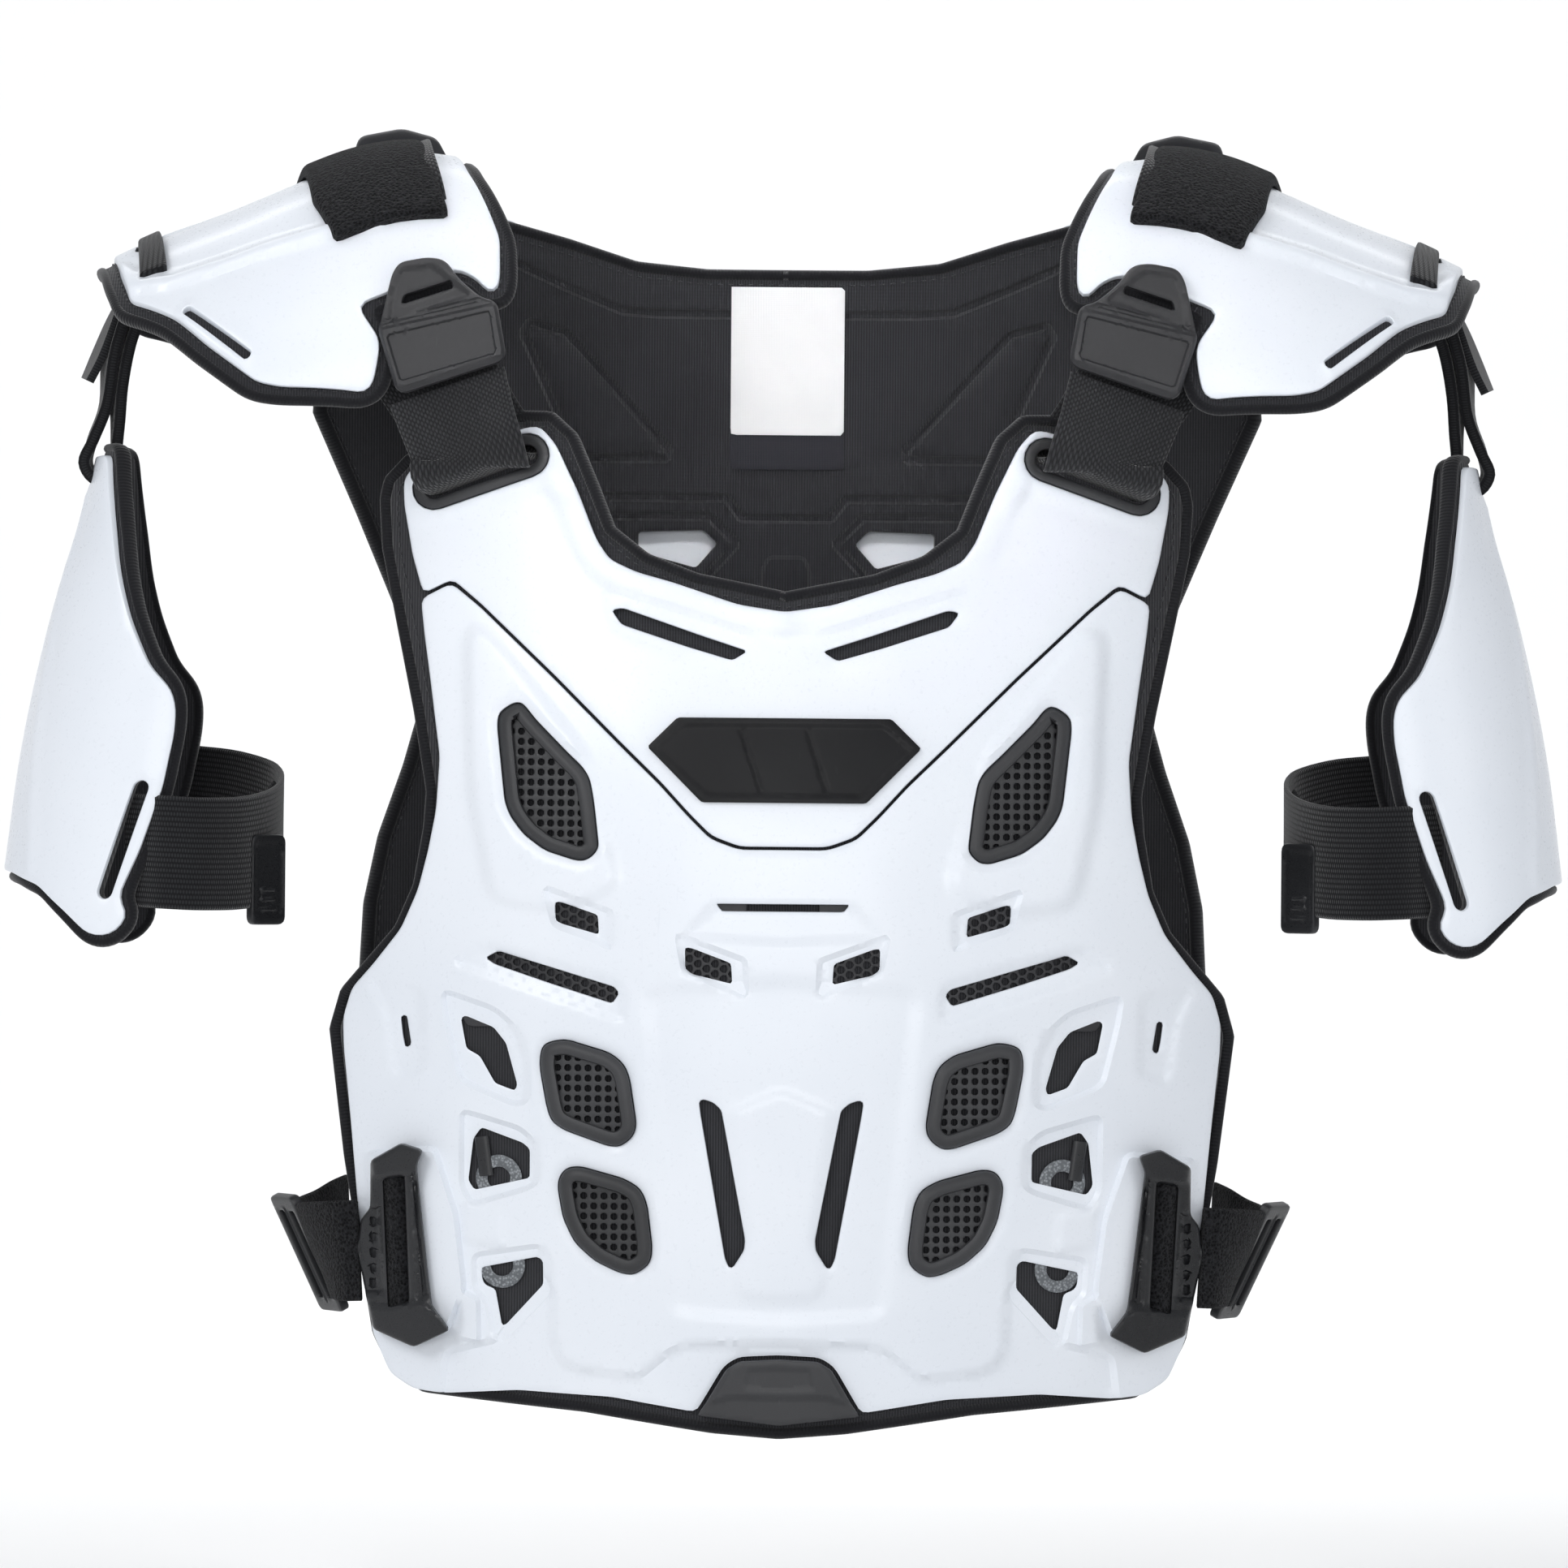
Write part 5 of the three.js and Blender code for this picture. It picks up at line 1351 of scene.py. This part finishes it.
strap_piece("arm_link", elastic, "webbing", "arm_link", link_rows, LINK_WIDTH, LINK_THICKNESS,
            [0, 1, 0], closed=True)
link_end_rows = [
    [274, 0, -50, 0, 0.1], [279, -1, -62, 0, 0.2], [284.5, -2, -76, 0, 0.24],
    [289, -2, -86, 0, 0.2],
]
strap_piece("link_end", elastic, "webbing", None, link_end_rows, LINK_WIDTH - 2, 3.4, [0, 1, 0])

arm_strap_rows = [
    [268, -50, -279], [260, -57, -279.5], [250, -63.5, -280], [236, -60, -280.5],
    [221, -44, -280], [211, -20, -277], [208, 6, -272], [213, 32, -266], [230, 52, -261],
    [248, 62, -259], [260, 58, -258],
]
strap_piece("arm_strap", elastic, "elastic", "arm_strap", arm_strap_rows, ARM_STRAP_WIDTH,
            ELASTIC_THICKNESS, [0, 0, 1])
strap_piece("arm_strap_fold", pile, "elastic", None, arm_strap_rows[3:7], ARM_STRAP_WIDTH - 2,
            1.8, [0, 0, 1], lift=2.4)

side_rows = [
    [171, -67, -441, 0, 0.05], [180, -62, -441.5, 0, 0.14], [188, -47, -442, 0, 0.32],
    [191.5, -26, -442.5, 0, 0.5], [192.5, 0, -443, 0, 0.55], [191.5, 26, -442, 0, 0.5],
    [188.5, 46, -441, 0, 0.3], [185.5, 60, -438, 0, 0.1], [182, 74, -436, 0, 0],
]
strap_piece("side_strap", pile, "webbing", "side_strap", side_rows, SIDE_STRAP_WIDTH,
            ELASTIC_THICKNESS, [0, 0, 1])


# Moulded plates: tabs and slider, from an outline tilted and turned into place

def plate_place(middle, tilt=0.0, turn=0.0):
    """Points are (across, up) of the plate; the offset counts back from its front face."""
    tilt, turn = math.radians(tilt), math.radians(turn)

    def place(points, offset):
        across, up = points[:, 0], points[:, 1]
        forward = -np.broadcast_to(offset, across.shape)
        y = -forward * math.cos(tilt) - up * math.sin(tilt)
        z = up * math.cos(tilt) - forward * math.sin(tilt)
        return np.stack([
            middle[0] + across * math.cos(turn) - y * math.sin(turn),
            middle[1] + across * math.sin(turn) + y * math.cos(turn),
            middle[2] + z,
        ], 1)
    return place


def in_webbing(rows):
    return np.asarray(rows, float) / 100 * WEBBING_WIDTH


tab_outline = in_webbing([
    [12, 56], [-2, 54], [-13, 39], [-31, 24], [-45, 20], [-53, -22], [-50, -29], [30, -55],
    [37, -51], [52, -4], [50, 3], [41, 43], [35, 52],
])
finger_slit = in_webbing([[31, 25], [-7, 37], [-9, 31], [33, 18]])
tab_relief = fields([
    ([[33, 46], [8, 49], [-8, 37], [-24, 25], [43, 4], [40, 30]], -1.0, 1.4, 1),
    ([[50, -3], [-45, 18], [-51, -24], [34, -52]], 1.2, 1.2, 1),
    ([[44, -8], [-40, 12], [-46, -22], [32, -45]], -1.0, 0.7, 1),
], alone, in_webbing)
tab_relief.append(Groove(in_webbing([[50, 2], [-42, 24]]), 0.8, 1.8))
TAB_THICKNESS = 4
shell("front_tab", tab_rubber, "tab", "front_tab", plate_place([140, -80.6, -66], -3, 8),
      soften(tab_outline, 3), holes=[soften(finger_slit, 0.8)], front=-TAB_THICKNESS + 0.3, back=0,
      relief=tab_relief, step=1.3, rim=1.1, back_rim=0.5)

rear_tab_outline = in_webbing([
    [-45, 20], [-30, 46], [0, 54], [36, 46], [42, 20], [46, -44], [38, -50], [-38, -50], [-46, -44],
])


def facing_back(place, thickness):
    """The same plate with its finished face to the rear."""
    return lambda points, offset: place(points, -thickness - np.asarray(offset))


shell("rear_tab", tab_rubber, "tab", "rear_tab",
      facing_back(plate_place([165, 86.3, 0], 24, -10), TAB_THICKNESS),
      soften(rear_tab_outline, 3), front=-TAB_THICKNESS, back=0,
      relief=[Field(rear_tab_outline * 0.78, -0.8, 1.6, 1),
              Groove(in_webbing([[-42, 14], [40, 14]]), 0.8, 2)],
      step=1.6, rim=1.1, back_rim=0.8)

shell("strap_slider", black_plastic, "buckle", "strap_slider",
      plate_place([190.5, -22, -442.5], 27, 62), rectangle(11, 26.5, 3),
      holes=[rectangle(2.2, 20, 1, [x, 0]) for x in (-4.6, 4.6)], front=-5.4, back=-1.2,
      relief=[Groove([[0, -21], [0, 21]], 0.8, 2)], step=1.5, rim=1.1, back_rim=0.6)

tab_bars = [Field(rectangle(4, 0.7, 0.5, [0, z]), 0.5, 0.6, 0.3) for z in (-12, -8, -4)]
shell("arm_strap_tab", black_plastic, "buckle", "arm_strap_tab",
      plate_place([214, -31, -291], 0, -42), rectangle(9, 18.5, 3.5), front=-5.2, back=-1.4,
      relief=[Field(rectangle(7, 15, 2), -0.6, 1, 1)] + tab_bars, step=1.3, back_rim=0.5)

# Side buckles: two hoods joined by a bar, in front of a window with the rolled strap end
BUCKLE_BACK = -1.9
BUCKLE_FRONT = BUCKLE_BACK - 8
buckle_edge = panel_outline([
    [84.4, 72.2], [79.5, 72.8], [80.9, 74.4], [78.1, 85], [77.2, 87.9], [73.1, 90.2], [81.2, 92],
    [90.6, 90.4], [92.8, 86.2], [94.4, 82.6], [93.6, 79.8], [91.4, 78.6], [91.4, 74],
])
buckle_window = panel_outline([[88.4, 75.8], [83.6, 75.4], [82.4, 87.6], [87, 88.2]])
buckle_relief = fields([
    ([[92, 71.5], [78.5, 72], [80.2, 75], [90.6, 75.6]], 1.4, 1.8, 1),
    ([[91.5, 88.2], [79, 87.6], [71.5, 90], [80.5, 93], [90, 91.5]], 1.4, 1.8, 1),
    ([[81.6, 76], [79.6, 75.6], [76.8, 87], [80.6, 87.3]], -1.6, 1.8, 1),
    ([[95, 79], [89.3, 78.4], [88, 86.8], [93, 87]], -2.2, 2.0, 1),
], alone)
buckle_relief.append(Groove(panel_outline([[81.5, 75.2], [78.9, 86.9]]), 0.7, 1.4))
buckle_relief += fields([
    ([[91.4, low], [90, low - 0.1], [89.8, low + 0.7], [91.2, low + 0.8]], -1.2, 0.7, 0.3)
    for low in (79.6 + 1.5 * k for k in range(5))], alone)
shell("side_buckle", black_plastic, "buckle", "side_buckle", panel_place,
      soften(buckle_edge, 1.5), holes=[soften(buckle_window, 1)], front=BUCKLE_FRONT + 1.4,
      back=BUCKLE_BACK, relief=buckle_relief, step=1.3, rim=1.2)

roll_line = resampled(panel_outline([[86.2, 75.5], [84.8, 88.1]]), 1.5, closed=False)
roll = surface_sweep("visual_buckle_roll_right", panel_place, roll_line, BUCKLE_BACK - 2.6,
                     oval(12.4, 5.2, 16), closed=False, step=1.5)
dress_pair(roll, pile, "webbing", "buckle_pin")

# Grey hooks behind the side openings, with the dark rod that they grip
HOOK_OUTER, HOOK_INNER = 9.5, 4.6


for stem, middle, start, stop in (("upper", [62.4, 75.4], -60, 215),
                                  ("lower", [61.6, 83.8], -215, 60)):
    turn = np.radians(np.linspace(start, stop, 25))
    rays = np.stack([np.cos(turn), np.sin(turn)], 1)
    ring = np.vstack([rays * HOOK_OUTER, rays[::-1] * HOOK_INNER]) + panel_outline([middle])
    shell(f"buckle_hook_{stem}", hook_grey, "hook", f"buckle_hook_{stem}", panel_place,
          soften(ring, 0.6), front=SHELL_WALL + 0.1, back=LINER_FRONT, step=1.1, rim=0.6)
rod = surface_sweep("visual_hook_rod_right", panel_place,
                    panel_outline([[66.4, 71.4], [65.2, 75.2]]), 2.6, oval(6.4, 3.2, 14),
                    closed=False, step=1.5)
dress_pair(rod, black_plastic, "buckle")


# Backdrop, light and camera

def backdrop():
    """A pale floor that curves up into a wall behind the object."""
    floor, front, back, top, half_width = -0.62, -8.0, 5.2, 6.5, 8.0
    bend, bend_steps = 1.8, 12
    profile = [(front, floor), (back - bend, floor)]
    for k in range(1, bend_steps + 1):
        angle = math.pi / 2 * k / bend_steps
        profile.append((back - bend + bend * math.sin(angle),
                        floor + bend * (1 - math.cos(angle))))
    profile.append((back, top))
    verts = [(x, y, z) for x in (-half_width, half_width) for y, z in profile]
    count = len(profile)
    faces = [(i, i + 1, count + i + 1, count + i) for i in range(count - 1)]
    mesh = bpy.data.meshes.new("backdrop")
    mesh.from_pydata(verts, [], faces)
    mesh.shade_smooth()
    sheet = bpy.data.objects.new("backdrop", mesh)
    bpy.context.scene.collection.objects.link(sheet)
    material, tree, shader = new_material("backdrop_paper")
    place = tree.place()
    tone = tree.mix(tree.noise(place, 2.0, 2.0), rgb(0.9, 0.9, 0.9), rgb(0.93, 0.93, 0.93))
    tree.put(shader, {"Base Color": tone, "Roughness": 0.85})
    mesh.materials.append(material)
    return sheet


def area_light(name, place, target, size, power, spread=180):
    data = bpy.data.lights.new(name, "AREA")
    data.shape = "RECTANGLE"
    data.size, data.size_y = size
    data.energy = power
    lamp = bpy.data.objects.new(name, data)
    lamp.location = place
    direction = Vector(target) - Vector(place)
    lamp.rotation_euler = direction.to_track_quat("-Z", "Y").to_euler()
    data.spread = math.radians(spread)
    bpy.context.scene.collection.objects.link(lamp)


AIM = (0.0, 0.0, -0.25)
area_light("key", (-2.0, -2.5, 1.3), AIM, (1.3, 1.3), 31)
area_light("fill", (2.6, -2.6, 0.5), AIM, (1.8, 1.8), 12)
area_light("top", (0.0, -0.9, 2.4), AIM, (2.4, 0.9), 4)
area_light("front", (0.0, -4.4, 0.15), AIM, (2.8, 1.2), 40)
area_light("inner", (0.0, -1.5, 0.9), (0, 0.08, -0.12), (0.25, 0.25), 0.12, spread=12)
area_light("rear", (0.0, 1.7, 2.2), (0, 3.6, -0.4), (5.0, 1.2), 90)

world = bpy.data.worlds.new("studio")
world.use_nodes = True
sky = world.node_tree.nodes["Background"]
sky.inputs["Color"].default_value = rgb(0.95, 0.97, 1.0)
sky.inputs["Strength"].default_value = 0.46
bpy.context.scene.world = world
bpy.context.scene.view_settings.view_transform = "Standard"

camera_data = bpy.data.cameras.new("camera")
camera_data.sensor_width = 36
camera_data.lens = 229.6
camera_data.clip_end = 50
camera = bpy.data.objects.new("camera", camera_data)
camera.location = (0.0, -4.130, -0.250)
camera.rotation_euler = (math.radians(90), math.radians(-0.5), 0)
bpy.context.scene.collection.objects.link(camera)
bpy.context.scene.camera = camera

backdrop()

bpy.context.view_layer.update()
